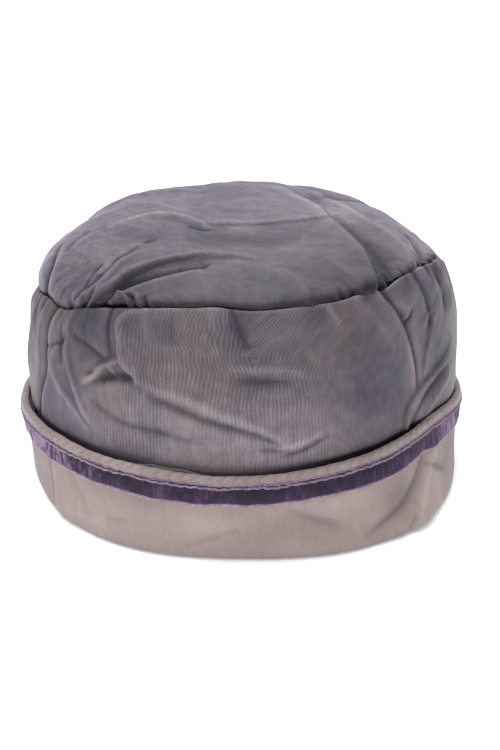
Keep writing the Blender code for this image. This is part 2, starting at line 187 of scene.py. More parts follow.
# On the tip the points are (x, y) on its flat cloth, from its middle, where the front is at -y.
TIP_FOLDS = folds(
    ("long step", ((10, 41), (20, 30), (34, 4), (39, -16), (46, -33), (52, -48), (56, -63), (58, -84)),
     2.8, 0.7, 0.1, 1, -4.2, 1.5),
    ("long step's trough", ((42, -4), (52, -30), (60, -52), (65, -68), (66, -84)), 3.8, -3.0, 0, 0.8),
    ("second drape", ((34, 42), (44, 16), (55, -4), (63, -18), (73, -37), (75, -54), (77, -64)),
     3.6, 1.8, 0.2, 0.8),
    ("facet", ((79, -2), (80, -20), (82, -36), (84, -54)), 2.8, -2.6, 0, 1),
    ("facet's crest", ((87, -6), (89, -24), (90, -38)), 3.2, 1.3, 0.2, 0.8),
    ("cross crease", ((-16, -24), (0, -23), (18, -20), (38, -17)), 2.2, 0.3, 0.6, 0.9, 1.6, 0.6),
    ("left crest", ((-62, -16), (-48, -9), (-36, -9), (-26, -15), (-16, -26)), 2.4, 2.0, 0.1, 0.7),
    ("left pit", ((-21, -27), (-14, -30)), 2.2, -1.9, 0.6, 0.3),
    ("far crest", ((-61, 36), (-39, 9), (-34, 3), (-24, -6)), 4.4, 1.2, 0, 0.2),
    ("far crease", ((-82, -25), (-75, -15), (-70, -9)), 2.2, -1.1, 0.2, 0.1),
    ("great fold",
     ((-76, -79), (-65, -78), (-55, -76), (-49, -72), (-38, -68), (-25, -64), (-12, -62), (8, -69)),
     2.4, 1.6, 0.8, 0, 3.8, 1.0),
    ("great fold's valley", ((-60, -84), (-54, -80), (-49, -77), (-43, -76), (-31, -74), (-18, -73)),
     2.6, -3.8, 0.8, 0.6),
    ("valley's pit", ((-27, -72), (-18, -73)), 2.4, -1.0, 0.1, 0.5),
    ("front brow", ((-60, -86), (-52, -85), (-45, -83), (-36, -82), (-26, -80), (-16, -77)),
     2.4, 1.7, 0.9, 0),
    ("slit", ((-82, -74), (-72, -76), (-66, -75), (-62, -72)), 1.3, -3.4, 1, 0),
    ("slit's crest", ((-76, -70), (-66, -73), (-60, -72), (-55, -65), (-53, -61), (-49, -58), (-40, -53)),
     1.8, 2.1, 0.7, 0),
    ("seam fold", ((-68, -66), (-62, -62), (-57, -57), (-55, -52), (-50, -49), (-45, -44)),
     1.7, -3.4, 0.6, 0),
    ("small crease", ((-44, -42), (-38, -37)), 1.7, -1.9, 0.1, 0.2),
    ("left lip", ((-84, -73), (-75, -74), (-70, -71), (-67, -66), (-63, -61), (-58, -60)),
     1.3, 1.7, 1, 0),
    ("lens", ((-72, -74), (-68, -69), (-65, -65), (-62, -61)), 1.7, -3.8, 0.2, 0),
    ("left lip's crease", ((-80, -69), (-73, -67), (-69, -61), (-65, -55), (-61, -52)),
     1.5, -2.0, 0.8, 0),
    ("dark wedge", ((-74, -80), (-66, -85), (-59, -89), (-53, -93)), 2.0, -3.6, 0.6, 1),
    ("seam hollow", ((-56, -94), (-44, -100), (-30, -105), (-17, -108)), 2.0, -2.2, 1, 0.2),
    ("left hollow", ((-106, -35), (-98, -36), (-92, -31), (-89, -20), (-87, -6)), 2.8, -2.3, 1, 0, 0.8),
    ("left swell", ((-90, -48), (-85, -34), (-81, -18)), 4.4, 1.2, 0.8, 0),
    ("left tick", ((-78, -65), (-86, -70)), 0.8, -0.9, 0, 1),
    ("left tick, middle", ((-80, -55), (-94, -61)), 0.9, -0.9, 0, 1),
    ("left tick, far", ((-87, -49), (-99, -53)), 0.9, -1.0, 0, 1),
    ("tuft, low", ((-62, -83), (-57, -85), (-52, -85)), 1.3, 1.5, 0.3, 1),
    ("tuft, left", ((-53, -84), (-50, -87), (-49, -91), (-50, -98)), 1.1, 2.2, 0.6, 1),
    ("tuft, gap", ((-49, -85), (-47, -89), (-47, -98)), 0.9, -2.2, 0.1, 1),
    ("tuft, right", ((-48, -85), (-45, -88), (-44, -92), (-44, -99)), 1.1, 1.8, 0.3, 1),
    ("tuft, edge", ((-42, -89), (-41, -99)), 1.2, -1.5, 0.1, 1),
    ("tuft, last", ((-40, -91), (-38, -99)), 1.2, 0.9, 0.1, 1),
    ("right brow", ((36, -62), (44, -73), (49, -79), (55, -86)), 2.6, 1.5, 0, 1),
    ("right brow's trough", ((40, -77), (46, -84), (50, -92)), 2.2, -0.6, 0, 1),
    ("front drag", ((16, -76), (24, -86), (31, -100)), 3.2, 1.2, 0, 1),
    ("seam slit, right", ((32, -103), (41, -99), (51, -93)), 1.7, -1.8, 0.5, 0.5),
    ("step's pit", ((57, -84), (62, -80), (68, -77)), 1.8, -1.4, 0.4, 0.5),
    ("front bevel", ((-8, -71), (8, -76), (20, -85), (29, -100)), 5.0, 0.9, 0, 0.6),
    ("middle hollow", ((-26, -42), (0, -44), (26, -48)), 12.0, -1.2, 0.2, 0.2),
    ("back fold", ((-25, 88), (4, 56), (30, 38)), 5.5, 1.7, 0.8, 0.1),
    ("back trough", ((-15, 90), (14, 59), (40, 40)), 5.5, -1.8, 0.8, 0.1),
    ("back hollow", ((-34, 63), (0, 67), (34, 58)), 14.0, -2.0, 0.3, 0.3),
    ("back drape, left", ((-78, 49), (-46, 40), (-18, 28)), 5.0, 1.6, 0.9, 0, 1.2),
    ("back drape, right", ((84, 56), (50, 36), (26, 18)), 5.0, -1.8, 0.9, 0),
)

# On the side and on the cuff the points are (bearing, height).
SIDE_FOLDS = folds(
    ("left pleat", ((-58, 97), (-60.5, 88), (-61, 78), (-60, 68), (-63, 57), (-68, 38)),
     1.5, -3.5, 1, 0.9, 1.0, 0.9),
    ("left pleat's lip", ((-65, 95), (-66, 80), (-65, 66), (-69, 50)), 3.0, 0.8, 0.8, 0.2),
    ("second pleat", ((-55, 82), (-56, 71), (-52, 63), (-46, 56), (-41, 49)), 2.2, 1.1, 0.3, 0.2),
    ("block crest", ((-48, 104), (-48.5, 90), (-49.5, 82), (-47, 70), (-44, 60), (-40, 52)),
     1.6, 1.3, 0.9, 0.1, 0.7),
    ("block trough", ((-52, 98), (-53, 86), (-52, 74)), 2.8, -1.3, 0.8, 0),
    ("block crease", ((-49, 89), (-54, 83), (-60, 78)), 2.0, -1.3, 0.4, 0.6),
    ("corner crease", ((-46, 92), (-39, 89), (-34, 85)), 2.2, -1.1, 0.2, 0.9, 0.4),
    ("panel edge", ((-24, 111), (-29, 108), (-30.5, 103), (-30, 97), (-30, 90), (-29, 84), (-24, 77)),
     2.0, 0.8, 0.9, 0.1, 2.4, 0.8),
    ("panel trough", ((-33, 110), (-33.5, 100), (-33, 88)), 2.4, -1.4, 0.8, 0.4),
    ("block hollow", ((-41, 106), (-41, 96)), 9.0, -0.8, 0.8, 0.5),
    ("tuft", ((-42, 71.5), (-38.5, 76), (-35, 82), (-31, 86)), 1.5, 2.7, 0.2, 0.4),
    ("tuft's nick", ((-40, 76), (-37.5, 79)), 1.3, -1.2, 0.2, 0.2),
    ("tuft's loop", ((-33, 84), (-32, 79), (-29.5, 79)), 1.2, 1.2, 0.2, 0.4),
    ("pocket", ((-37, 75), (-32, 78.5), (-26, 80)), 2.4, -3.0, 0.4, 0.1),
    ("long drag", ((-24, 78), (-15, 75), (-8, 71), (0, 65), (7, 59), (11, 53)), 3.4, 1.2, 0.1, 0.3),
    ("long drag's trough", ((-23, 74), (-16, 70), (-7, 65), (2, 60), (6, 57)), 3.2, -1.3, 0, 0.9),
    ("low drag", ((-40, 64), (-30, 58), (-20, 57), (-6, 54)), 4.0, -1.1, 0.2, 0),
    ("centre dent", ((-3, 116), (-1, 108), (2, 97)), 3.8, -1.25, 1, 0),
    ("left dent", ((-16, 110), (-16, 97)), 5.0, -0.7, 0.9, 0),
    ("front band", ((-3, 89), (10, 88), (15, 84)), 2.8, 0.9, 0.2, 0.1),
    ("front band's trough", ((-1, 83.5), (12, 82)), 3.2, -1.0, 0.2, 0.3),
    ("low dent", ((4, 52), (10, 51)), 2.4, -1.2, 0.3, 0.3),
    ("low crease", ((10, 48.5), (15, 50), (20, 54)), 2.2, -1.1, 0.3, 0.4),
    ("low crest", ((8, 52), (14, 54), (20, 58)), 2.6, 1.0, 0.2, 0.2),
    ("seam crest", ((16, 117), (21, 113), (24, 105)), 2.8, 1.2, 0.9, 0),
    ("right swell", ((30, 112), (35, 101), (40, 90), (43, 76)), 6.0, 1.0, 0.6, 0.1),
    ("right crease", ((37, 115), (40.5, 107), (44.5, 99), (48, 92), (50.5, 83), (52, 73), (52, 63)),
     2.0, -2.8, 1, 0.1, -1.4, 0.9),
    ("bubble", ((44, 106), (47, 101), (46.5, 98)), 1.7, 1.3, 0.3, 0.4),
    ("bubble's pit", ((50, 101), (49.5, 96), (47, 94)), 1.5, -1.5, 0.2, 0.3),
    ("right brow", ((57, 114), (63, 103), (68, 94)), 3.4, 1.3, 0.9, 0),
    ("right brow's trough", ((52, 115), (57, 104), (60, 95), (61, 86)), 2.8, -1.9, 1, 0),
    ("far brow", ((69, 109), (74, 98), (77, 86)), 3.2, 1.4, 0.9, 0),
    ("far brow's trough", ((64, 111), (69, 100), (72, 88)), 2.6, -1.5, 0.9, 0),
    ("nick", ((55, 90), (58, 92), (62, 93)), 2.0, 1.3, 0.2, 0.3),
    ("thin crest", ((76, 69), (64, 63), (55, 61), (49, 56), (48, 49), (49, 40)), 1.3, 2.8, 0.3, 0.6),
    ("thin crest's trough", ((73, 61), (62, 57), (54, 50), (51, 42)), 2.6, -1.8, 0.2, 0.3),
    ("right drag", ((76, 57), (66, 52), (55, 41)), 3.4, 1.5, 0.2, 0.3),
    ("upright crest", ((64, 92), (61, 84), (58, 74), (56, 66)), 1.4, 1.5, 0.2, 0.1),
    ("left edge drag", ((-72, 90), (-78, 70), (-84, 46)), 4.6, 1.1, 0.6, 0.3),
    ("left edge trough", ((-82, 86), (-88, 66), (-92, 44)), 5.0, -1.1, 0.6, 0.3),
    ("back pleat, left", ((-118, 88), (-112, 68), (-116, 44)), 3.4, -2.2, 1, 0.3, 0.8, 0.4),
    ("back drag, left", ((-150, 84), (-138, 66), (-126, 48)), 6.0, 1.9, 0.6, 0.1),
    ("back trough, left", ((-160, 80), (-148, 62), (-134, 46)), 6.5, -2.0, 0.5, 0.1),
    ("back swell", ((-176, 70), (-166, 56)), 9.0, 1.4, 0.1, 0.1),
    ("back pleat, right", ((112, 98), (118, 76), (114, 48)), 3.4, -2.2, 1, 0.3, -0.8, 0.4),
    ("back drag, right", ((138, 94), (146, 74), (160, 52)), 6.0, 1.9, 0.7, 0.1),
    ("back trough, right", ((128, 96), (136, 74), (150, 50)), 6.0, -2.0, 0.7, 0.1),
    ("back seam", ((179.7, 92), (179.7, 36)), 0.9, -1.0, 1, 1, 0.3),
    ("back seam's far side", ((-180.3, 92), (-180.3, 36)), 0.9, -1.0, 1, 1, 0.3),
)
CUFF_FOLDS = folds(
    ("left corner", ((-57, 3), (-44, 8)), 11.0, 2.4, 0.5, 0.5),
    ("right corner", ((43, 2), (54, 6)), 7.0, 3.6, 0.6, 0.5),
    ("right slack", ((54, 31), (50, 23), (43, 15), (35, 10), (29, 6)), 4.2, -2.6, 0.6, 0.1),
    ("right slack's crest", ((60, 30), (53, 20), (48, 10)), 2.8, 2.0, 0.3, 0.4),
    ("right nip", ((54, 26), (59, 21), (64, 16)), 2.0, -1.6, 0.4, 0.1),
    ("right corner's pit", ((46, 8), (43, 3)), 2.6, -1.4, 0.3, 0.8),
    ("seam", ((-56.4, 31), (-56.6, 20), (-56.0, 8), (-54.5, 2)), 1.1, -2.0, 1, 1, 0.6),
    ("left sag", ((-40, 22), (-22, 12), (-2, 9)), 8.0, 0.8, 0.2, 0.1),
    ("front crease", ((-16, 4), (-8, 10), (0, 16)), 3.0, -0.9, 0.1, 0.1),
    ("front crease, right", ((10, 26), (17, 19), (24, 14)), 3.0, -1.0, 0.1, 0.1),
    ("left dimple", ((-34, 12), (-27, 14)), 5.0, -1.2, 0.3, 0.3),
    ("left nip", ((-46, 27), (-42, 18), (-38, 8)), 5.0, -0.9, 0.3, 0.1),
    ("front sag", ((8, 24), (22, 14), (30, 6)), 6.0, -0.8, 0.1, 0.3),
    ("back seam", ((178, 31), (178, 16), (178, 2)), 1.1, -1.0, 1, 1, 0.4),
    ("back slack", ((132, 30), (142, 16), (150, 4)), 4.5, -1.5, 0.4, 0.2),
    ("back slack, left", ((-134, 30), (-124, 16), (-118, 4)), 4.5, -1.4, 0.4, 0.2),
)

TIP_GATHERS = gathers(
    ("left", -88, -46, 22, 0.35, 8.0),
    ("front", -40, 22, 9, 0.3, 9.0),
    ("right", 24, 52, 18, 0.8, 4.5),
    ("far right", 54, 84, 14, 0.5, 7.0),
    ("back", 96, 262, 34, 0.6, 13.0),
)
SIDE_GATHERS = gathers(
    ("left", -88, -50, 13, 0.7, 7.0),
    ("front", -38, 26, 8, 0.25, 9.0),
    ("right", 28, 52, 7, 0.6, 7.0),
    ("far right", 54, 86, 9, 0.8, 9.0),
    ("back", 96, 262, 30, 0.6, 13.0),
)

# The stains are at (x, y) on the tip and at (bearing, height) elsewhere.
SIDE_STAINS = stains(
    ("block", (-41, 98), 8, 15, -0.75),
    ("under the block", (-37, 84), 4, 5, -0.6),
    ("panel corner", (-27, 106), 3, 9, -0.8),
    ("panel", (-12, 84), 14, 18, 0.45),
    # The dent row is painted shadow in the centre dent.
    ("dent", (-1, 106), 4, 11, -0.8),
    ("left of the dent", (-18, 106), 4, 9, -0.6),
    ("right of the dent", (9, 100), 8, 12, 0.4),
    ("seam, right", (17, 108), 4, 9, -0.7),
    ("corner, right", (25, 106), 3, 8, 0.5),
    ("right", (33, 86), 9, 32, -0.6),
    ("right, beyond", (43, 84), 4, 20, -0.6),
    ("bubble", (43, 104), 3, 5, 0.7),
    ("beyond the crease", (50, 78), 2.5, 20, 1.0),
    ("far right", (62, 96), 9, 18, -0.9),
    ("tuft", (-38, 77), 4, 5, 1.5),
    ("pleat", (-56, 92), 3, 6, 0.5),
    ("low pleat", (-50, 62), 4, 10, -0.3),
    ("left pleat", (-58, 62), 4, 16, -0.9),
    ("left edge", (-74, 84), 9, 16, -0.5),
    ("left, low", (-60, 52), 10, 15, -0.8),
    ("under the crease", (-47, 76), 7, 12, -0.7),
    ("far right, low", (66, 66), 10, 20, -0.9),
    ("right, low", (40, 58), 12, 15, -0.5),
)
TIP_STAINS = stains(
    ("left", (-62, -42), 10, 14, 0.8),
    ("left crest", (-45, -10), 12, 7, 0.7),
    ("middle", (0, -31), 8, 7, 0.9),
    ("front", (26, -60), 14, 9, 0.7),
    ("front left", (-24, -80), 16, 5, 0.5),
    ("step", (44, -2), 8, 12, 1.0),
    ("right of the step", (70, -42), 8, 22, 0.8),
    ("facet", (83, -30), 5, 18, 0.9),
    ("hollow", (-18, -38), 8, 8, -0.7),
    ("plane", (30, -34), 16, 8, -0.5),
    ("back", (-10, 20), 34, 24, -0.5),
    ("left shoulder", (-82, -20), 8, 26, -0.3),
    # The step's trough row is painted shade in the long step's trough.
    ("step's trough", (60, -60), 4, 16, -1.0),
)
CUFF_STAINS = stains(
    # Left of the seam the cuff is darker as painted shade.
    ("left of the seam", (-68, 18), 12, 18, -1.0),
    ("low left", (-38, 10), 9, 6, 0.6),
    ("under the ribbon, left", (-26, 25), 12, 4, -0.4),
    ("middle", (-6, 17), 10, 5, 0.4),
    ("right of the middle", (12, 13), 9, 7, -0.35),
    ("under the ribbon, right", (22, 25), 12, 4, 0.35),
    ("right slack", (40, 20), 5, 8, -0.8),
    ("right corner", (56, 12), 6, 9, 0.6),
    ("far right", (74, 20), 9, 14, -0.9),
)

# The cuff's section, from the inner lip of its fold, along the table and up its outer side to its
# edge, and down inside. from_fold: share of the way in reach from the fold to the edge. inset: how
# far in from there, of which walls: how many thicknesses of the cuff. rise: height as a share of
# the cuff's height. up: added height.
CUFF_SECTION = table(
    "point from_fold inset walls rise up",
    ("lip", 0.00, 12.0, 0, 0.00, 1.2),
    ("flat, inner end", 0.00, 10.8, 0, 0.00, 0.0),
    ("flat, outer end", 0.00, 4.0, 0, 0.00, 0.0),
    ("round", 0.00, 1.2, 0, 0.00, 1.2),
    ("foot", 0.00, 0.0, 0, 0.00, 4.6),
    ("lower", 0.20, 0.0, 0, 0.34, 0.0),
    ("upper", 0.65, 0.0, 0, 0.68, 0.0),
    ("edge", 1.00, 0.0, 0, 1.00, 0.0),
    ("edge, inner", 1.00, 0.0, 1, 1.00, 0.0),
    ("upper, inner", 0.65, 0.0, 1, 0.68, 0.0),
    ("lower, inner", 0.20, 0.0, 1, 0.34, 0.0),
    ("corner, inner", 0.00, 1.8, 1, 0.00, 3.0),
    ("shelf, inner end", 0.00, 10.8, 0, 0.00, 3.0),
    ("lip, upper", 0.00, 12.0, 0, 0.00, 1.8),
    ("lip again", 0.00, 12.0, 0, 0.00, 1.2),
)

# Where the tuck in the side's ribs stands on the front, and from which height and how much the ribs
# lean to the right of it.
RIB_TUCK = table("height bearing", (84, 6), (97, 2), (108, 0), (115, -2))
RIB_LEAN_FROM = 82.0
RIB_LEAN = 0.024

# Which way the tip's ribs run on its flat cloth, how its rows crowd at the seam, and how far from
# its middle nothing laps.
TIP_RIB_SLANT = (0.60, 0.80)
TIP_ROW_POWER = 1.4
TIP_UNLAPPED = 4.0

# The cuff: how far its edge lies in from the binding's, how far the binding laps it, and where the
# rows of its mesh lie, as shares of the rows with their points on CUFF_SECTION.
CUFF_INSET = 1.5
BINDING_LAP = 2.6
CUFF_ROWS = 78
CUFF_MARKS = ((0.0, 0.0), (0.10, 3.0), (0.22, 4.0), (0.68, 7.0), (0.70, 8.0), (0.90, 11.0), (1.0, 14.0))

# The facing: how far its top lies under the binding's middle, its bottom as a share of the cuff's
# height, how far in it lies, and where and how far its raw edge peeps out.
FACING_ROWS = 22
FACING_DROP = 2.2
FACING_LOW = 0.36
FACING_GAP = 0.9
PEEP = (("bearing", -34, -20), ("bearing", 0, -14))
PEEP_RISE = 4.2

# The binding: how square its roll is, from 1 for an oval down to 0, and how deep its twists are.
BINDING_COLUMNS = 900
BINDING_ROWS = 20
BINDING_SQUARE = 0.82
TWIST_DEPTH = 0.06

# The ribbon: how far it goes up past the cuff's own edge, its thickness, from stitch to stitch, and
# its woven edges, each from a lowest to a highest line. apart: the height that its fray is taken at,
# frayed: how far its highest line frays with its lowest, proud: how far it stands off the cuff.
RIBBON_COLUMNS = 1000
PILE_ROWS = 22
SELVEDGE_ROWS = 4
RIBBON_LAP = 0.9
RIBBON_WALL = 0.6
STITCH_PITCH = 4.1
SELVEDGES = table(
    "piece apart fray lowest from_lowest highest from_highest frayed proud",
    ("selvedge_low", 120.0, ((1.2, 0.3), (4.0, 0.3)), "low_edge", 0.0, "low", 0.3, 0.0, 0.75),
    ("selvedge_top", 180.0, ((1.8, 0.2), (6.0, 0.3)), "top", 0.05, "top", 0.45, 1.0, 1.5),
    ("selvedge_stitched", 240.0, ((1.3, 0.16), (3.4, 0.3)), "top", -1.2, "top", -0.8, 1.0, 2.1),
)

# The lights, in metres. Their powers are the stage's properties.
LIGHTS = table(
    "light place size",
    ("key", (-0.30, 0.12, 1.45), 1.2),
    ("overhead", (0.0, -0.2, 1.7), 2.2),
    ("fill", (0.05, -1.6, 0.6), 1.2),
    ("back", (0.25, 1.2, 1.1), 1.2),
)

# Painted shade on the side, and painted light where the tone is below 0, apart from its seam and
# the gap at the cuff. The spot darkens the block; it is at (bearing, height).
SIDE_SHADES = shades(
    ("top", 0.14, (("height", 78, 96),)),
    ("left and right", 0.35, (("aside", 46, 72),)),
    ("right of the crease", -0.26, (("bearing", 46, 60), ("bearing", 120, 90))),
    ("left of the crease", 0.09, (("bearing", 14, 28), ("bearing", 58, 46))),
    ("low", -0.12, (("height", 86, 50),)),
    ("low, right of the pleat", -0.48, (("height", 86, 50), ("bearing", -66, -46))),
    ("low, right", 0.57, (("height", 86, 50), ("bearing", 12, 42))),
)
SIDE_SPOTS = stains(("block", (-43, 92), 9, 17, 0.36))
# How clearly the side's ribs show on its front and low down, of what they show there at most.
RIB_SHADES = shades(
    ("front", 0.78, (("bearing", -33, -28), ("bearing", 30, 12))),
    ("front, high", 0.22, (("bearing", -33, -28), ("bearing", 30, 12), ("height", 66, 84))),
)
LOW_RIB_SHADES = shades(("low", 0.5, (("height", 66, 52), ("bearing", -60, -30), ("bearing", 60, 26))))
# Where painted shade darkens the tip, or painted light lifts it, and how dark the painted shade is at the
# foot of the long step and in its seam.
TIP_SHADES = shades(
    ("front", 0.46, (("y", 10, -95),)),
    ("front right", 0.34, (("y", 10, -95), ("x", 0, 55))),
    ("back", -0.28, (("y", -35, 20),)),
    ("left", -0.20, (("x", -30, -80),)),
)
STEP_FOOT = table("x wide tone", (61, 7, 0.34))[0]
SEAM_SHADE = 1.05
# How far up the tip the seam's shadow reaches.
SEAM_SHADOWS = shades(
    ("all round", 3.6),
    ("front", 1.4, (("bearing", -55, -35), ("bearing", 24, 10))),
)

# The soft swells of each cloth, as pairs of a swell's size and height.
SIDE_SWELLS = ((34.0, 1.2), (13.0, 0.45), (5.0, 0.16))
TIP_SWELLS = ((30.0, 1.1), (12.0, 0.5), (5.0, 0.22))
CUFF_SWELLS = ((32.0, 0.7), (11.0, 0.15))
BINDING_SWELLS = ((7.0, 0.22), (22.0, 0.35))
FACING_SWELLS = ((5.0, 0.9), (21.0, 0.7))
PILE_SWELLS = ((3.0, 0.5), (11.0, 0.35))
RIBBON_TOP_SWELLS = ((8.0, 0.45), (26.0, 0.5), (2.2, 0.22))
RIBBON_LOW_SWELLS = ((10.0, 0.65), (24.0, 0.8), (2.2, 0.3))

# A fold's profile, in its half widths: how far it is felt, how its ridge falls off, how steep its
# step is and how far that is felt, and where the higher cloth laps over.
FOLD_MARGIN = 8.0
RIDGE_FALL = 1.1
RIDGE_POWER = 1.25
STEP_STEEPNESS = 2.2
STEP_REACH = 3.0
LAP_MIDDLE = 0.55
LAP_WIDTH = 0.75
# The push at which a crest's tone is three quarters of its full one.
CREST_PUSH = 2.4


def catmull(before, start, end, after, share):
    """A smooth way from start to end, aware of the values before and after them."""
    return 0.5 * (
        2.0 * start
        + (end - before) * share
        + (2.0 * before - 5.0 * start + 4.0 * end - after) * share**2
        + (3.0 * start - before - 3.0 * end + after) * share**3
    )


def outline(column, bearing):
    """A column of OUTLINE at each bearing, smooth all the way round."""
    values = np.array([getattr(row, column) for row in OUTLINE])
    place = (np.asarray(bearing, float) - OUTLINE[0].bearing) / (360.0 / len(OUTLINE))
    first = np.floor(place).astype(int)
    near = [values[(first + step) % len(values)] for step in (-1, 0, 1, 2)]
    return catmull(*near, place - first)


def seam_height(bearing):
    """The height of the wandering seam at each bearing, its wave evened over a few degrees."""
    bearings, rises = np.array(SEAM_WAVE, float).T
    aside = (-2.0, -1.0, 0.0, 1.0, 2.0)
    near = [np.interp(bearing + step, bearings, rises, period=360.0) for step in aside]
    return outline("seam_z", bearing) + np.mean(near, axis=0)


def along(levels, place):
    """The values at each place on a smooth line through levels, counted in levels from the first.
    Levels and places both run down the first axis."""
    last = len(levels) - 1
    first = np.clip(place.astype(int), 0, last - 1)
    share = (place - first)[:, None] if levels.ndim > 1 else place - first
    near = [levels[np.clip(first + step, 0, last)] for step in (-1, 0, 1, 2)]
    return catmull(*near, share)


def spread(rows, marks):
    """The level of each row of a mesh. marks: shares of the rows with their levels."""
    return np.interp(np.linspace(0.0, 1.0, rows + 1), *np.array(marks).T)


def ramp(value, start, full):
    """0 up to start, 1 from full on and a smooth way between. Full may be the lower of the two."""
    share = np.clip((value - start) / (full - start), 0.0, 1.0)
    return share * share * (3.0 - 2.0 * share)


def grown(ramps, **measures):
    """The product of ramps, each as the name of its measure, its start and where it is full."""
    total = 1.0
    for measure, start, full in ramps:
        total = total * ramp(measures[measure], start, full)
    return total


def shaded(rows, **measures):
    """The sum of the rows' tones, each grown along its ramps."""
    return sum(row.tone * grown(row.ramps, **measures) for row in rows)


def turned(bearing, reach, height):
    """The points at bearings, reaches and heights."""
    angle = np.broadcast_to(np.radians(bearing), reach.shape)
    return np.stack((reach * np.sin(angle), -reach * np.cos(angle), height), axis=-1)


def smooth_way(points, stretch, steps=6):
    """A fold's points, scaled across by stretch, with a smooth line between them."""
    levels = np.array(points, float) * (stretch, 1.0)
    if len(levels) == 2:
        return levels
    return along(levels, np.linspace(0.0, len(levels) - 1, steps * (len(levels) - 1) + 1))


def beside(points, way):
    """Where each point is by a way: how far along it from 0 to 1, how far to its left, how far past
    its ends, and which direction its left is."""
    steps = np.diff(way, axis=0)
    lengths = np.hypot(*steps.T)
    offset = points[:, None] - way[:-1]
    local = np.clip((offset * steps).sum(-1) / lengths**2, 0.0, 1.0)
    gap = offset - local[..., None] * steps
    nearest = (gap**2).sum(-1).argmin(1)
    pick = (np.arange(len(points)), nearest)
    heading = (steps / lengths[:, None])[nearest]
    left = np.stack((-heading[:, 1], heading[:, 0]), axis=-1)
    aside = (gap[pick] * left).sum(-1)
    beyond = (gap[pick] * heading).sum(-1)
    return (nearest + local[pick]) / len(steps), aside, beyond, left


def fold_fields(across, up, fold_rows, stretch):
    """How far the folds push the cloth out at each point, and how far they shift it (across, up)."""
    across, up = np.broadcast_arrays(across, up)
    flat = np.stack((across.ravel() * stretch, up.ravel()), axis=-1)
    push = np.zeros(len(flat))
    shift = np.zeros_like(flat)
    for row in fold_rows:
        way = smooth_way(row.way, stretch)
        margin = FOLD_MARGIN * row.width
        inside = (flat > way.min(0) - margin) & (flat < way.max(0) + margin)
        near = np.nonzero(np.all(inside, axis=1))[0]
        share, aside, beyond, left = beside(flat[near], way)
        ends = row.start + (row.end - row.start) * share
        strength = ends + (1.0 - ends) * np.sin(math.pi * share) ** 0.7
        strength *= np.exp(-((beyond / (1.4 * row.width)) ** 2))
        place = aside / row.width
        ridge = row.push * np.exp(-RIDGE_FALL * np.abs(place) ** RIDGE_POWER)
        ledge = row.step * 0.5 * np.tanh(STEP_STEEPNESS * place) * np.exp(-np.abs(place) / STEP_REACH)
        push[near] += strength * (ridge + ledge)
        if row.over:
            higher = math.copysign(1.0, row.step)
            lap = row.over * strength * np.exp(-(((place * higher - LAP_MIDDLE) / LAP_WIDTH) ** 2))
            shift[near] -= higher * lap[:, None] * left
    return push.reshape(across.shape), shift.reshape(*across.shape, 2)


def stained(across, up, stain_rows):
    """The tone of the stains at each point."""
    tone = np.zeros(np.broadcast(across, up).shape)
    for row in stain_rows:
        away = ((across - row.at[0]) / row.wide) ** 2 + ((up - row.at[1]) / row.tall) ** 2
        tone += row.tone * np.exp(-away)
    return tone


def gather_push(bearing, from_seam, gather_rows, seed):
    """How far the small gathers push the cloth out, by the way from the seam. Crests and deeper
    pits take turns."""
    random = np.random.default_rng(seed)
    push = np.zeros(np.broadcast(bearing, from_seam).shape)
    for row in gather_rows:
        spacing = (row.last - row.first) / row.count
        for step in range(row.count):
            middle = row.first + (step + random.uniform(0.2, 0.8)) * spacing
            depth = row.depth * random.uniform(0.45, 1.25) * (-1.7 if step % 2 else 0.7)
            length = row.length * random.uniform(0.6, 1.5)
            lean = random.uniform(-0.12, 0.12)
            wide = spacing * random.uniform(0.32, 0.52) * (1.0 + from_seam / (2.0 * row.length))
            away = (bearing - middle + 180.0) % 360.0 - 180.0 - lean * from_seam
            push += depth * np.exp(-((away / wide) ** 2)) * np.exp(-((from_seam / length) ** 2))
    return push


def undulation(points, swells):
    """Soft irregular swells: the sum of noises, each as its size and its height."""
    flat = points.reshape(-1, 3)
    total = np.zeros(len(flat))
    for size, height in swells:
        scaled = (flat / size).tolist()
        total += height * np.array([noise.noise(point) for point in scaled])
    return total.reshape(points.shape[:-1])


def ring_swells(bearing, height, swells):
    """Swells by bearing and height alone."""
    height = np.broadcast_to(height, np.broadcast(bearing, height).shape)
    return undulation(turned(bearing, np.full(height.shape, RING_REACH), height), swells)


def surface_frame(points):
    """The unit directions across, up and out of a surface that closes round its second axis, whose
    last column repeats its first."""
    ring = points[:, :-1]
    across = np.roll(ring, -1, axis=1) - np.roll(ring, 1, axis=1)
    across = np.concatenate((across, across[:, :1]), axis=1)
    up = np.gradient(points, axis=0)
    out = np.cross(across, up)
    for way in (across, up, out):
        way /= np.maximum(np.linalg.norm(way, axis=-1, keepdims=True), 1e-9)
    return across, up, out


def blurred(points, rounds):
    """A surface that closes round its second axis, smoothed."""
    ring = points[:, :-1]
    for _ in range(rounds):
        ends = np.concatenate((ring[:1], ring, ring[-1:]))
        ring = (np.roll(ring, 1, axis=1) + np.roll(ring, -1, axis=1) + ends[:-2] + ends[2:]) / 4.0
    return np.concatenate((ring, ring[:, :1]), axis=1)


def sharpness(points, rounds=4, depth=0.22):
    """From -1 along a sharp crease to 1 along a sharp crest."""
    out = surface_frame(points)[2]
    stands = ((points - blurred(points, rounds)) * out).sum(-1)
    stands[:2] = stands[-2:] = 0.0
    return np.tanh(stands / depth)


def pick_none():
    """Leaves edit mode and deselects everything."""
    if bpy.context.mode != "OBJECT":
        bpy.ops.object.mode_set(mode="OBJECT")
    bpy.ops.object.select_all(action="DESELECT")


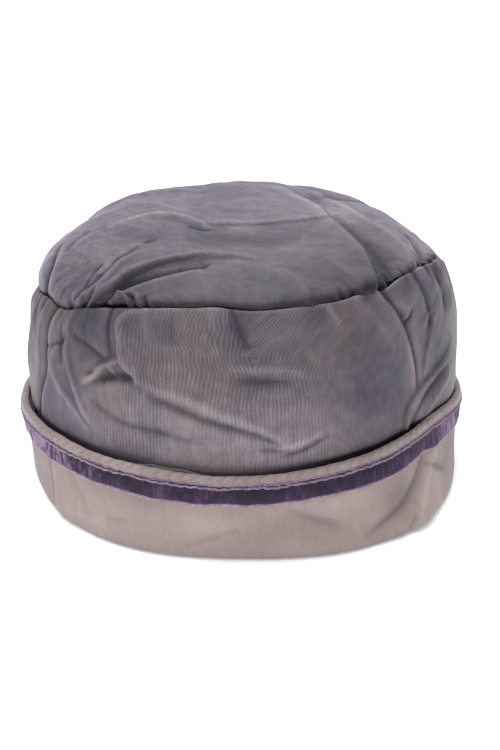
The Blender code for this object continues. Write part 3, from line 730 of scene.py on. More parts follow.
def finish_mesh(piece, wall=0.0, merge=0.01):
    """Closes a cloth's seam by merging what lies closer than merge, gives it a wall's thickness
    inwards and shades it smooth."""
    bpy.ops.object.mode_set(mode="EDIT")
    bpy.ops.mesh.select_all(action="SELECT")
    bpy.ops.mesh.remove_doubles(threshold=merge * MM)
    bpy.ops.object.mode_set(mode="OBJECT")
    if wall:
        cloth = piece.modifiers.new("cloth thickness", "SOLIDIFY")
        cloth.thickness = wall * MM
        cloth.offset = -1.0
        bpy.ops.object.modifier_apply(modifier=cloth.name)
    bpy.ops.object.shade_smooth()


def cloth_grid(name, shape, weave, **tones):
    """A grid turned into a cloth. shape: its points, rows by columns. weave: where each point is on
    the flat cloth, kept as the UV map in metres. tones: named values for its finish."""
    rows, columns = shape.shape[0] - 1, shape.shape[1] - 1
    pick_none()
    bpy.ops.mesh.primitive_grid_add(x_subdivisions=columns, y_subdivisions=rows, size=1.0)
    piece = bpy.context.object
    piece.name = piece.data.name = name
    mesh = piece.data
    if len(mesh.vertices) != (columns + 1) * (rows + 1):
        raise RuntimeError(f"{name}: the grid has {len(mesh.vertices)} points")
    mesh.vertices.foreach_set("co", (shape * MM).astype(np.float32).ravel())
    corners = np.empty(len(mesh.loops), np.int32)
    mesh.loops.foreach_get("vertex_index", corners)
    mesh.uv_layers[0].name = "weave"
    flat = (weave.reshape(-1, 2) * MM).astype(np.float32)[corners]
    mesh.uv_layers[0].data.foreach_set("uv", flat.ravel())
    for tone, values in tones.items():
        kept = mesh.attributes.new(tone, "FLOAT", "POINT")
        kept.data.foreach_set("value", values.astype(np.float32).ravel())
    mesh.update()
    return piece


def round_weave(bearing, up):
    """The place on the flat cloth of points by bearing and by their way up the cloth."""
    return np.stack((np.broadcast_to(bearing * CLOTH_PER_DEGREE, up.shape), up), axis=-1)


def dress(piece, node, material):
    """The piece stands for a node of the frame, with its own finish."""
    piece.data.materials.clear()
    piece.data.materials.append(material)
    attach(piece, "root")
    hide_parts(node)


class Wire:
    """One output of a shader node. Sums on it add Math nodes."""

    def __init__(self, finish, socket):
        self.finish = finish
        self.socket = socket

    def _math(self, operation, *values):
        return self.finish.node("ShaderNodeMath", {"operation": operation}, dict(enumerate(values)))

    def __add__(self, other):
        return self._math("ADD", self, other)

    def __sub__(self, other):
        return self._math("SUBTRACT", self, other)

    def __rsub__(self, other):
        return self._math("SUBTRACT", other, self)

    def __mul__(self, other):
        return self._math("MULTIPLY", self, other)

    __radd__ = __add__
    __rmul__ = __mul__

    def sine(self):
        return self._math("SINE", self)

    def clamped(self, low, high):
        """0 at low and below, 1 at high and above."""
        limits = {"Value": self, "From Min": low, "From Max": high}
        return self.finish.node("ShaderNodeMapRange", {"interpolation_type": "SMOOTHSTEP"}, limits)


class Finish:
    """A material under construction."""

    def __init__(self, name):
        self.material = bpy.data.materials.new(name)
        self.material.use_nodes = True
        self.tree = self.material.node_tree
        self.surface = self.tree.nodes["Principled BSDF"]

    def node(self, kind, settings, sockets, output=0):
        """Adds a node with its settings first and then the values or links of its sockets."""
        made = self.tree.nodes.new(kind)
        for key, value in settings.items():
            setattr(made, key, value)
        for key, value in sockets.items():
            self.feed(made.inputs[key], value)
        return Wire(self, made.outputs[output])

    def feed(self, socket, value):
        """Links a wire to a socket, or sets its value, a colour's without its alpha."""
        if isinstance(value, Wire):
            self.tree.links.new(value.socket, socket)
        elif socket.type == "RGBA" and len(value) == 3:
            socket.default_value = (*value, 1.0)
        else:
            socket.default_value = value

    def set(self, **sockets):
        """Feeds the surface's sockets, whose spaces are written as underlines."""
        for key, value in sockets.items():
            self.feed(self.surface.inputs[key.replace("_", " ")], value)

    def weave(self):
        """The place on the flat cloth, in metres: (across, up)."""
        uv = self.node("ShaderNodeUVMap", {"uv_map": "weave"}, {})
        return tuple(self.node("ShaderNodeSeparateXYZ", {}, {0: uv}, output) for output in (0, 1))

    def weave_vector(self, across, up):
        """A place on the flat cloth as a vector, for a noise."""
        return self.node("ShaderNodeCombineXYZ", {}, {"X": across, "Y": up})

    def tone(self, name):
        """One of the piece's named tones."""
        return self.node("ShaderNodeAttribute", {"attribute_name": name}, {}, output=2)

    def noise(self, size, detail=2.0, roughness=0.5, at=None):
        """Noise of a size in millimetres, on the object or at a vector in metres."""
        where = at or self.node("ShaderNodeTexCoord", {}, {}, output=3)
        sockets = {"Vector": where, "Scale": 1.0 / (size * MM), "Detail": detail, "Roughness": roughness}
        return self.node("ShaderNodeTexNoise", {}, sockets)

    def threads(self, across, pitch):
        """A wave from -1 to 1 across the cloth, from thread to thread."""
        return (across * (TURN / (pitch * MM))).sine()

    def mix(self, first, second, share):
        """A colour from the first to the second by a share."""
        return self.node("ShaderNodeMix", {"data_type": "RGBA"}, {"Factor": share, 6: first, 7: second}, 2)

    def scaled(self, colour, share):
        """A colour made darker or lighter."""
        return self.node("ShaderNodeVectorMath", {"operation": "SCALE"}, {0: colour, "Scale": share})

    def bump(self, height, depth, under=None):
        """A bump of a height map from 0 to 1, whose full depth is in millimetres."""
        sockets = {"Height": height, "Distance": depth * MM, "Strength": 1.0}
        if under:
            sockets["Normal"] = under
        return self.node("ShaderNodeBump", {}, sockets)


# The crown's and the cuff's silks. rib_depth: the ribs' relief, rib_tone: how much lighter they are
# than the cloth between them, bloom: their share of the sheen, and grain: how uneven they are.
SIDE_SILK, TIP_SILK, CUFF_SILK = table(
    "name rib_depth rib_tone rough bloom grain",
    ("side silk", 0.12, 0.22, 0.55, 0.5, 0.34),
    ("tip silk", 0.07, 0.08, 0.5, 1.4, 0.5),
    ("cuff silk", 0.05, 0.02, 0.6, 1.0, 0.12),
)
CUFF_RIB_PITCH = 1.2
CUFF_RIBS = 0.3
TIP_RIBS = 0.25
# The heights between which the ribs begin to waver, and by how much at most and at least.
RIB_WAVER_HEIGHTS = (62.0, 102.0)
RIB_WAVER = 11.0
RIB_WAVER_LOW = 2.6
SILK_GLOSS = 0.16


def faille(silk, dark, mid, faded, look, rib_pitch):
    """Ribbed silk: fine ribs up the cloth that waver, a cool bloom at grazing angles, uneven fading,
    and pale thin lines along its sharp crests, part wear and part painted highlight. Painted light
    and shade also lighten its crests, darken its hollows and creases, and follow its shade tone."""
    finish = Finish(silk.name)
    across, up = finish.weave()
    low, high = RIB_WAVER_HEIGHTS
    swing = up.clamped(low * MM, high * MM) * (RIB_WAVER * MM) + RIB_WAVER_LOW * MM
    drawn = finish.weave_vector(across * 0.45, up)
    waver = (finish.noise(15.0, 1.5, at=drawn) - 0.5) * swing + (finish.noise(5.0, 1.0) - 0.5) * (0.6 * MM)
    rib = finish.threads(across + waver, rib_pitch) * finish.tone("ribs")
    slub = finish.noise(0.9, 2.0, 0.6, at=finish.weave_vector(across, up * 0.22))
    speck = finish.noise(0.6, 2.0, 0.7)
    wrinkle = finish.noise(3.4, 3.0, 0.6, at=finish.weave_vector(across, up * 0.4))
    cloud = finish.noise(34.0, 3.0, 0.55)
    patch = finish.noise(13.0, 3.0, 0.6)
    shown = finish.noise(60.0, 1.0).clamped(0.30, 0.55)
    crest, edge, shade, stain = (finish.tone(tone) for tone in ("crest", "edge", "shade", "stain"))
    warm = (stain * 0.42 + patch + crest * 0.10).clamped(0.50, 0.95)
    # Besides the cool patches and stains, the dark colour goes into the folds' hollows as painted shade.
    cool = (cloud - stain * 0.40 - crest * 0.22).clamped(0.38, 0.90)
    cloth = finish.mix(mid, dark, cool * 0.85)
    cloth = finish.mix(cloth, faded, warm * 0.62)
    # Painted shade and light: hollow darkens the folds' hollows and crest lightens their crests; edge draws
    # pale lines on sharp crests, part wear and part painted highlight, and dark lines in sharp creases as
    # painted shade; shade darkens above 0 and lightens below it.
    hollow = 1.0 - crest.clamped(-1.0, 0.0)
    uneven = (slub - 0.5 + (speck - 0.5) * 2.8) * silk.grain
    tone = 1.0 + rib * silk.rib_tone * shown + uneven + crest * 0.12
    tone = tone * (1.0 + (wrinkle - 0.5) * silk.grain * 1.8) * (1.0 + edge * 0.50)
    tone = tone * (1.0 - shade * 0.86) * (1.0 - hollow * 0.55) * (1.0 + stain * 0.16)
    under = finish.bump(finish.noise(7.0, 3.0, 0.55), 0.45)
    under = finish.bump(wrinkle, 0.30, under)
    under = finish.bump(rib * 0.5 + 0.5, silk.rib_depth, under)
    finish.set(Base_Color=finish.scaled(cloth, tone), Roughness=silk.rough + (cloud - 0.5) * 0.12)
    finish.set(Normal=finish.bump(slub, 0.10, under), Specular_IOR_Level=SILK_GLOSS)
    finish.set(Sheen_Weight=look.sheen * silk.bloom, Sheen_Roughness=0.36, Sheen_Tint=look.sheen_tint)
    return finish.material


# How far apart the bias silk's ribs and twists lie, in the binding's shape and in its finish, and how
# far they slant.
BIAS_PITCH = 1.5
TWIST_PITCH = 5.4
BIAS_SLANT = 0.9


def bias_silk(name, colours, look):
    """The binding's silk, cut on the bias: slanting ribs and twist wrinkles."""
    finish = Finish(name)
    across, up = finish.weave()
    waver = (finish.noise(9.0, 1.0) - 0.5) * (3.2 * MM)
    slant = across - up * BIAS_SLANT + waver
    rib = finish.threads(slant, BIAS_PITCH)
    twist = (slant * (TURN / (TWIST_PITCH * MM)) + finish.noise(12.0, 2.0) * 5.0).sine()
    cloud = finish.noise(17.0, 3.0)
    cloth = finish.mix(colours.binding, colours.cuff_faded, cloud.clamped(0.35, 0.72) * 0.6)
    # Painted shade in the grooves of the twists, and the weave darker between the ribs.
    hollow = (0.5 - twist * 0.5) * 0.30 + (0.5 - rib * 0.5) * 0.16
    under = finish.bump(twist * 0.5 + 0.5, 0.32)
    finish.set(Base_Color=finish.mix(cloth, colours.binding_hollow, hollow), Roughness=0.62)
    finish.set(Normal=finish.bump(rib * 0.5 + 0.5, 0.16, under))
    finish.set(Sheen_Weight=0.25, Sheen_Roughness=0.4, Sheen_Tint=look.sheen_tint)
    return finish.material


def velvet_pile(name, colours):
    """Crushed velvet: a dark pile, mottled, with pale streaks where it is pressed over, most at the
    ribbon's two sides, where they are part pressed pile and part painted sheen.
    """
    finish = Finish(name)
    across, up = finish.weave()
    streak = finish.noise(2.2, 3.0, 0.6, at=finish.weave_vector(across, up * 0.30))
    mottle = finish.noise(3.6, 4.0, 0.65, at=finish.weave_vector(across, up * 0.7))
    patch = finish.noise(14.0, 2.0, at=finish.weave_vector(across, up * 0.5))
    nap = finish.noise(0.6, 2.0, 0.7)
    # The ribbon's pressed pile and painted sheen, kept as its crest tone.
    crush_and_sheen = finish.tone("crest")
    low = 1.0 - up.clamped(0.0, 6.0 * MM)
    lit = (mottle * 0.8 + patch * 0.5 + nap * 0.35 + low * 0.12).clamped(0.66, 1.25)
    pressed = (streak + crush_and_sheen * 0.16 + (patch - 0.5) * 0.7).clamped(0.56, 0.74)
    cloth = finish.mix(colours.velvet, colours.velvet_lit, lit)
    cloth = finish.mix(cloth, colours.velvet_pressed, pressed * (crush_and_sheen * 0.85 + 0.06))
    finish.set(Base_Color=cloth, Roughness=0.75, Specular_IOR_Level=0.2)
    finish.set(Normal=finish.bump(nap, 0.3, finish.bump(streak, 0.7)))
    finish.set(Sheen_Weight=0.3, Sheen_Roughness=0.35, Sheen_Tint=(0.62, 0.42, 0.78))
    return finish.material


def woven_edge(name, colours):
    """The ribbon's lilac woven edge, with short threads across it."""
    finish = Finish(name)
    across, up = finish.weave()
    thread = finish.threads(across, 0.75)
    cloud = finish.noise(2.6, 3.0, 0.7, at=finish.weave_vector(across, up))
    cloth = finish.mix(colours.selvedge_dark, colours.selvedge, (cloud + thread * 0.10).clamped(0.36, 0.64))
    finish.set(Base_Color=cloth, Roughness=0.5, Normal=finish.bump(thread * 0.5 + 0.5, 0.25))
    finish.set(Sheen_Weight=0.2, Sheen_Roughness=0.4)
    return finish.material


def facing_finish(name, colours):
    """The facing's dark cloth, paler at its raw edge."""
    finish = Finish(name)
    raw = finish.tone("crest") * (finish.noise(5.0, 3.0, 0.6) * 0.5 + 0.5)
    finish.set(Base_Color=finish.mix(colours.facing, colours.facing_edge, raw), Roughness=0.8)
    finish.set(Normal=finish.bump(finish.noise(0.8, 2.0), 0.12))
    return finish.material


def length_property(name, description, default):
    return bpy.props.FloatProperty(name=name, description=description, default=default, unit="LENGTH")


def share_property(name, description, default, subtype="FACTOR"):
    return bpy.props.FloatProperty(
        name=name, description=description, default=default, min=0.0, subtype=subtype
    )


def power_property(name, description, default):
    return bpy.props.FloatProperty(name=name, description=description, default=default, unit="POWER")


def count_property(name, description, default, least):
    return bpy.props.IntProperty(name=name, description=description, default=default, min=least)


def colour_property(name, description, default):
    return bpy.props.FloatVectorProperty(
        name=name, description=description, default=default, min=0.0, max=1.0, subtype="COLOR"
    )


class BonnetColours(bpy.types.PropertyGroup):
    """The colours of the cloths."""

    side: colour_property("Side", "Silk of the crown's side", (0.1000, 0.0828, 0.0900))
    # In the folds' hollows this dark colour is painted shade, and elsewhere cool patches and stains.
    side_dark: colour_property("Side, hollows", "Its soiled hollows", (0.0610, 0.0560, 0.0820))
    tip: colour_property("Tip", "Silk of the crown's tip", (0.0765, 0.0668, 0.0818))
    # In the folds' hollows this dark colour is painted shade, and elsewhere cool patches and stains.
    tip_dark: colour_property("Tip, hollows", "Its soiled hollows", (0.0465, 0.0398, 0.0605))
    tip_faded: colour_property("Tip, faded", "Brown fading on it", (0.1120, 0.0850, 0.0880))
    crown_faded: colour_property("Crown, faded", "Brown fading on its crests", (0.1280, 0.0980, 0.1000))
    cuff: colour_property("Cuff", "Faded silk of the cuff", (0.2550, 0.2045, 0.1925))
    # In the folds' hollows this dark colour is painted shade, and elsewhere cool patches and stains.
    cuff_dark: colour_property("Cuff, hollows", "Its soiled hollows", (0.1980, 0.1560, 0.1510))
    cuff_faded: colour_property("Cuff, faded", "Its palest places", (0.3000, 0.2430, 0.2190))
    facing: colour_property("Facing", "Dark cloth inside the cuff", (0.0300, 0.0280, 0.0290))
    facing_edge: colour_property("Facing, edge", "Its paler raw edge", (0.1100, 0.1020, 0.0960))
    binding: colour_property("Binding", "Bias silk of the edge", (0.1920, 0.1500, 0.1415))
    # In the twists' grooves this colour is painted shade; between the ribs it is the weave.
    binding_hollow: colour_property("Binding, hollows", "Between its ribs", (0.0800, 0.0620, 0.0600))
    velvet: colour_property("Velvet", "The pile upright", (0.009, 0.006, 0.013))
    velvet_lit: colour_property("Velvet, lit", "The pile leaning", (0.0460, 0.0220, 0.0620))
    # At the ribbon's sides this pale colour is part pressed pile and part painted sheen.
    velvet_pressed: colour_property("Velvet, pressed", "The pile pressed over", (0.275, 0.168, 0.282))
    selvedge: colour_property("Selvedge", "The ribbon's woven edge", (0.330, 0.225, 0.320))
    selvedge_dark: colour_property("Selvedge, shade", "Its darker threads", (0.150, 0.088, 0.160))


class BonnetCloth(bpy.types.PropertyGroup):
    """The sizes of the cloths."""

    columns: count_property("Columns", "Divisions round the bonnet", 470, 60)
    rows: count_property("Rows", "Divisions up each crown cloth", 102, 20)
    silk_wall: length_property("Silk", "Thickness of the crown's padded silk", 0.0012)
    cuff_wall: length_property("Cuff", "Thickness of the cuff's doubled silk", 0.0026)
    facing_wall: length_property("Facing", "Thickness of the facing", 0.0008)
    fold_width: length_property("Fold", "Width of the flat fold that the cuff rests on", 0.012)
    ribbon_height: length_property("Ribbon", "Height of the velvet's pile", 0.0080)
    edge_height: length_property("Selvedge", "Height of the ribbon's lower woven edge", 0.0014)
    binding_height: length_property("Binding", "Height of the bound edge", 0.0046)
    binding_depth: length_property("Binding depth", "Depth of the bound edge", 0.0038)
    rib_pitch: length_property("Ribs", "From rib to rib of the silk", 0.0017)
    fold_depth: share_property("Fold depth", "Depth of all the folds", 1.0)
    sheen: share_property("Sheen", "Bloom of the silk at grazing angles", 0.13)
    sheen_tint: colour_property("Sheen tint", "Colour of that bloom", (0.7400, 0.6700, 0.8700))


class BonnetStage(bpy.types.PropertyGroup):
    """The floor, the lights and the camera."""

    elevation: bpy.props.FloatProperty(
        name="Elevation",
        description="Camera's angle above the table",
        default=math.radians(22.0),
        subtype="ANGLE",
    )
    distance: length_property("Distance", "From the camera to its target", 0.95)
    lens: bpy.props.FloatProperty(name="Lens", description="Focal length", default=96.0, unit="CAMERA")
    target_x: length_property("Target across", "Where the camera looks", 0.004)
    target_z: length_property("Target height", "Where the camera looks", 0.044)
    lit_floor: share_property("Lit floor", "How far the floor is lit from below", 0.13, "NONE")
    floor: colour_property("Floor", "Plain pale floor", (0.93, 0.93, 0.94))
    ambient: share_property("Ambient", "Even light of the room", 0.38, "NONE")
    key: power_property("Key", "Soft light from above", 26.0)
    overhead: power_property("Overhead", "Wide light above", 23.0)
    fill: power_property("Fill", "Soft light from the front", 12.0)
    back: power_property("Back", "Soft light from behind", 9.0)


def ring_bearings(columns):
    """Bearings all round, closer together at the front."""
    share = np.linspace(-1.0, 1.0, columns + 1)
    return 180.0 * share - FRONT_CROWDING * np.sin(math.pi * share)


def side_points(bearing, place):
    """The plain side at places on SIDE_LEVELS, and how free the folds are there."""
    edge_z, seam_z = outline("edge_z", bearing), seam_height(bearing)
    at_sides = grown(AT_SIDES, aside=np.abs(bearing))
    reaches, heights = [], []
    for row in SIDE_LEVELS:
        nearer = row.at_sides * at_sides
        rise = edge_z if row.share < 0.0 else seam_z - edge_z
        reaches.append(outline(row.reach_of, bearing) - row.inset + nearer)
        heights.append(edge_z + row.share * rise + row.up - nearer)
    free = along(np.array([row.free for row in SIDE_LEVELS]), place)
    return turned(bearing, along(np.array(reaches), place), along(np.array(heights), place)), free


def tip_points(bearing, place):
    """The plain tip at places on TIP_RINGS, and how free the folds are there."""
    seam, full, seam_z = outline("seam", bearing), outline("full", bearing), seam_height(bearing)
    reaches, heights = [], []
    for row in TIP_RINGS:
        share = row.flat_reach + full * (row.puffed_reach - row.flat_reach)
        rise = row.flat_rise + full * (row.puffed_rise - row.flat_rise)
        reaches.append(seam * share - row.inset)
        heights.append(seam_z + rise * (TIP_TOP - seam_z) + row.up)
    free = along(np.array([row.free for row in TIP_RINGS]), place)
    reach = np.maximum(along(np.array(reaches), place), 0.0)
    return turned(bearing, reach, along(np.array(heights), place)), free


def worked(points, push, shift, free, pole=False):
    """The points moved out by push and along the cloth by shift, as far as each row is free. pole:
    the last row is one point, the middle of the tip."""
    across, up, out = surface_frame(points)
    if pole:
        out[-1] = (0.0, 0.0, 1.0)
    free = free[:, None, None]
    moved = points + out * push[..., None] * free
    moved = moved + (across * shift[..., :1] + up * shift[..., 1:]) * free
    if pole:
        moved[-1] = moved[-1, :-1].mean(axis=0)
    return moved


def crest_value(push):
    """The folds' push as a tone from about -1 in a hollow to 1 on a crest."""
    return np.tanh(push / CREST_PUSH)


def rows_along(points):
    """How far along the cloth each point lies from the first row."""
    steps = np.linalg.norm(np.diff(points, axis=0), axis=-1)
    return np.concatenate((np.zeros((1, steps.shape[1])), np.cumsum(steps, axis=0)))


class BONNET_OT_crown_side(bpy.types.Operator):
    """The side of the crown, with its pleats, drags and gathers"""

    bl_idname = "bonnet.crown_side"
    bl_label = "Crown side"

    def execute(self, context):
        cloth, colours = context.scene.bonnet_cloth, context.scene.bonnet_colours
        bearing = ring_bearings(cloth.columns)
        plain, free = side_points(bearing, spread(cloth.rows, SIDE_ROWS))
        height = plain[..., 2]
        from_seam = np.maximum(seam_height(bearing) - height, 0.0)
        push, shift = fold_fields(bearing, height, SIDE_FOLDS, CLOTH_PER_DEGREE)
        push = push + gather_push(bearing, from_seam, SIDE_GATHERS, SEED)
        push = (push + undulation(plain, SIDE_SWELLS)) * cloth.fold_depth
        shape = worked(plain, push, shift * cloth.fold_depth, free)
        piece = cloth_grid(
            "side_silk", shape, self.weave(bearing, height), shade=self.shade(plain, bearing),
            ribs=self.ribs(bearing, height), stain=stained(bearing, height, SIDE_STAINS),
            crest=crest_value(push), edge=sharpness(shape),
        )
        finish_mesh(piece, cloth.silk_wall / MM)
        rib_pitch = cloth.rib_pitch / MM
        silk = faille(SIDE_SILK, colours.side_dark, colours.side, colours.crown_faded, cloth, rib_pitch)
        dress(piece, "crown_side", silk)
        return {"FINISHED"}

    def weave(self, bearing, height):
        """The ribs run up the cloth, and lean to the right from the tuck in the middle of the front."""
        tuck = np.interp(height, *np.array(RIB_TUCK, float).T)
        lean = ramp(bearing, tuck - 1.0, tuck + 1.0) * ramp(bearing, 60.0, 6.0)
        rise = np.maximum(height - RIB_LEAN_FROM, 0.0)
        return np.stack((bearing * CLOTH_PER_DEGREE - lean * RIB_LEAN * rise**2, height), axis=-1)

    def shade(self, plain, bearing):
        """Painted shade, from 1 in the seam and in the gap behind the cuff's edge, to painted light below 0
        where it lifts the cloth.
        """
        height = plain[..., 2]
        from_seam = outline("seam", bearing) - np.hypot(plain[..., 0], plain[..., 1])
        at_seam = ramp(from_seam, 1.2, 3.0) * ramp(height, 80.0, 84.0)
        front = np.maximum(np.cos(np.radians(bearing)), 0.0)
        at_cuff = ramp(height - outline("edge_z", bearing), 2.1 + 3.5 * front, 0.2) * (0.82 + 0.18 * front)
        # Painted shade and painted light from SIDE_SHADES and the block's darker spot, less in the gap at
        # the cuff.
        painted_shading = stained(bearing, height, SIDE_SPOTS)
        painted_shading = painted_shading + shaded(SIDE_SHADES, bearing=bearing, aside=np.abs(bearing), height=height)
        return np.maximum(at_seam, at_cuff) + painted_shading * (1.0 - at_cuff)

    def ribs(self, bearing, height):
        """The ribs show best on the front, and are pressed flat at its sides."""
        front = shaded(RIB_SHADES, bearing=bearing, height=height)
        low = shaded(LOW_RIB_SHADES, bearing=bearing, height=height)
        return 0.14 + 0.86 * np.maximum(front, low)


class BONNET_OT_crown_tip(bpy.types.Operator):
    """The domed tip of the crown, with its long step, folds and gathers"""

    bl_idname = "bonnet.crown_tip"
    bl_label = "Crown tip"

    def execute(self, context):
        cloth, colours = context.scene.bonnet_cloth, context.scene.bonnet_colours
        bearing = ring_bearings(cloth.columns)
        place = self.places(bearing, cloth.rows)
        plain, free = tip_points(bearing, place)
        girth = rows_along(plain)
        from_middle = girth[-1] - girth
        ditch = np.searchsorted(place, 1.0)
        from_seam = np.maximum(from_middle[ditch] - from_middle, 0.0)
        sine, cosine = np.sin(np.radians(bearing)), np.cos(np.radians(bearing))
        x, y = from_middle * sine, -from_middle * cosine
        push, shift = fold_fields(x, y, TIP_FOLDS, 1.0)
        push = push + gather_push(bearing, from_seam, TIP_GATHERS, SEED + 1)
        push = (push + undulation(plain, TIP_SWELLS)) * cloth.fold_depth
        outward = shift[..., 0] * sine - shift[..., 1] * cosine
        sideways = shift[..., 0] * cosine + shift[..., 1] * sine
        lap = np.stack((sideways, -outward), axis=-1) * cloth.fold_depth
        lap[from_middle < TIP_UNLAPPED] = 0.0
        shape = worked(plain, push, lap, free, pole=True)
        slant_x, slant_y = TIP_RIB_SLANT
        weave = np.stack((slant_y * x + slant_x * y, slant_y * y - slant_x * x), axis=-1)
        piece = cloth_grid(
            "tip_silk", shape, weave, shade=self.shade(x, y, bearing, from_seam),
            ribs=np.full_like(x, TIP_RIBS), stain=stained(x, y, TIP_STAINS),
            crest=crest_value(push), edge=sharpness(shape),
        )
        finish_mesh(piece, cloth.silk_wall / MM)
        rib_pitch = cloth.rib_pitch / MM
        silk = faille(TIP_SILK, colours.tip_dark, colours.tip, colours.tip_faded, cloth, rib_pitch)
        dress(piece, "crown_tip", silk)
        return {"FINISHED"}

    def places(self, bearing, rows):
        """The level of each row of the mesh, so that the rows lie closest at the seam."""
        fine = np.linspace(0.0, len(TIP_RINGS) - 1, 400)
        steps = np.linalg.norm(np.diff(tip_points(bearing, fine)[0], axis=0), axis=-1).mean(axis=1)
        lengths = np.append(0.0, np.cumsum(steps))
        share = np.linspace(0.0, 1.0, rows + 1)
        return np.interp(lengths[-1] * share**TIP_ROW_POWER, lengths, fine)

    def shade(self, x, y, bearing, from_seam):
        """Painted shade: dark in the seam, darker at the front and most of all at the foot of the long
        step, with painted light that lifts the back and the left.
        """
        # Painted shade at the foot of the long step and over the front, painted light at the back and the
        # left.
        foot = STEP_FOOT.tone * np.exp(-(((x - STEP_FOOT.x) / STEP_FOOT.wide) ** 2)) * ramp(y, 10.0, -95.0)
        painted_shading = shaded(TIP_SHADES, x=x, y=y) + foot
        at_seam = np.exp(-((from_seam / shaded(SEAM_SHADOWS, bearing=bearing)) ** 2))
        return painted_shading * (1.0 - at_seam) + SEAM_SHADE * at_seam


def cuff_top(bearing):
    """The height of the cuff's own edge, just under its binding."""
    return outline("edge_z", bearing) - BINDING_LAP


def cuff_points(bearing, wall=0.0):
    """The reaches and heights of CUFF_SECTION's points. The wall moves its inner side alone."""
    fold = outline("fold", bearing)
    lean = outline("edge", bearing) - CUFF_INSET - fold
    reaches = [fold + row.from_fold * lean - row.inset - row.walls * wall for row in CUFF_SECTION]
    heights = [row.rise * cuff_top(bearing) + row.up for row in CUFF_SECTION]
    return np.array(reaches), np.array(heights)


def cuff_push(bearing, height):
    """How far the cuff's folds and its soft swells push it out. There are no swells at the table."""
    push = fold_fields(bearing, height, CUFF_FOLDS, CLOTH_PER_DEGREE)[0]
    return push + ring_swells(bearing, height, CUFF_SWELLS) * ramp(height, 1.0, 9.0)


def cuff_face(bearing, height):
    """The reach of the cuff's outer side at heights, with its folds."""
    names = [row.point for row in CUFF_SECTION]
    outer = slice(names.index("foot"), names.index("edge") + 1)
    levels = np.linspace(0.0, 3.0, 40)
    reaches, heights = (along(line[outer], levels) for line in cuff_points(bearing))
    plain = [np.interp(*lines) for lines in zip(height.T, heights.T, reaches.T)]
    return np.stack(plain, axis=1) + cuff_push(bearing, height)


def band_heights(rows, low, high):
    """The heights of a band's points from its low line up to its high line, and their shares."""
    share = np.linspace(0.0, 1.0, rows + 1)[:, None]
    return low + (high - low) * share, share


class BONNET_OT_cuff(bpy.types.Operator):
    """The turned-up cuff, on the flat of its fold"""

    bl_idname = "bonnet.cuff"
    bl_label = "Cuff"

    def execute(self, context):
        cloth, colours = context.scene.bonnet_cloth, context.scene.bonnet_colours
        bearing = ring_bearings(cloth.columns)
        place = spread(CUFF_ROWS, CUFF_MARKS)
        reaches, heights = cuff_points(bearing, cloth.cuff_wall / MM)
        reach, height = along(reaches, place), np.maximum(along(heights, place), 0.0)
        push = cuff_push(bearing, height) * cloth.fold_depth
        loose = ramp(outline("fold", bearing) - reach, 12.0, 4.5)
        reach = reach + push * loose * np.maximum(ramp(height, 0.05, 1.2), 0.5)
        shape = turned(bearing, reach, height)
        shape[-1] = shape[0]
        piece = cloth_grid(
            "cuff_silk", shape, round_weave(bearing, rows_along(shape)), shade=np.zeros_like(push),
            ribs=np.full_like(push, CUFF_RIBS), stain=stained(bearing, height, CUFF_STAINS),
            crest=0.5 * crest_value(push), edge=0.3 * sharpness(shape),
        )
        finish_mesh(piece)
        silk = faille(CUFF_SILK, colours.cuff_dark, colours.cuff, colours.cuff_faded, cloth, CUFF_RIB_PITCH)
        dress(piece, "cuff", silk)
        return {"FINISHED"}


class BONNET_OT_facing(bpy.types.Operator):
    """The dark facing inside the cuff, whose wavy edge shows behind the binding"""

    bl_idname = "bonnet.facing"
    bl_label = "Cuff facing"

    def execute(self, context):
        cloth, colours = context.scene.bonnet_cloth, context.scene.bonnet_colours
        bearing = ring_bearings(cloth.columns)
        peep = grown(PEEP, bearing=bearing)
        wave = ring_swells(bearing, 0.0, FACING_SWELLS)
        top = outline("edge_z", bearing) - FACING_DROP + peep * (PEEP_RISE + 0.5 * wave)
        height, _ = band_heights(FACING_ROWS, FACING_LOW * cuff_top(bearing), top)
        reach = cuff_face(bearing, height) - cloth.cuff_wall / MM - FACING_GAP
        raw_edge = ramp(height, top - 1.3, top - 0.5) * (0.1 + 0.9 * peep)
        weave = round_weave(bearing, height)
        piece = cloth_grid("facing_cloth", turned(bearing, reach, height), weave, crest=raw_edge)
        finish_mesh(piece, cloth.facing_wall / MM)
        dress(piece, "cuff_facing", facing_finish("facing cloth", colours))
        return {"FINISHED"}


class BONNET_OT_binding(bpy.types.Operator):
    """The bias binding, a soft roll on the cuff's edge"""

    bl_idname = "bonnet.binding"
    bl_label = "Edge binding"

    def execute(self, context):
        cloth, colours = context.scene.bonnet_cloth, context.scene.bonnet_colours
        bearing = ring_bearings(BINDING_COLUMNS)
        depth, tall = cloth.binding_depth / MM / 2.0, cloth.binding_height / MM / 2.0
        middle = outline("edge", bearing) - depth
        turn = np.linspace(0.0, TURN, BINDING_ROWS + 1)[:, None]
        side = np.sign(np.cos(turn)) * np.abs(np.cos(turn)) ** BINDING_SQUARE
        rise = np.sign(np.sin(turn)) * np.abs(np.sin(turn)) ** BINDING_SQUARE
        place = turned(bearing, middle + 0.0 * turn, turn * 8.0 + 0.0 * bearing)
        slant = bearing * CLOTH_PER_DEGREE - turn * tall * 1.2
        twist = TWIST_DEPTH * np.sin(slant * TURN / TWIST_PITCH + 1.7 * np.sin(slant / 19.0))
        fuller = 1.0 + (undulation(place, BINDING_SWELLS) + twist) / tall
        reach = middle + depth * side * fuller
        height = outline("edge_z", bearing) + tall * rise * fuller
        reach[-1], height[-1] = reach[0], height[0]
        weave = round_weave(bearing, np.broadcast_to(turn * tall, reach.shape))
        piece = cloth_grid("binding_roll", turned(bearing, reach, height), weave)
        finish_mesh(piece)
        dress(piece, "edge_binding", bias_silk("binding silk", colours, cloth))
        return {"FINISHED"}


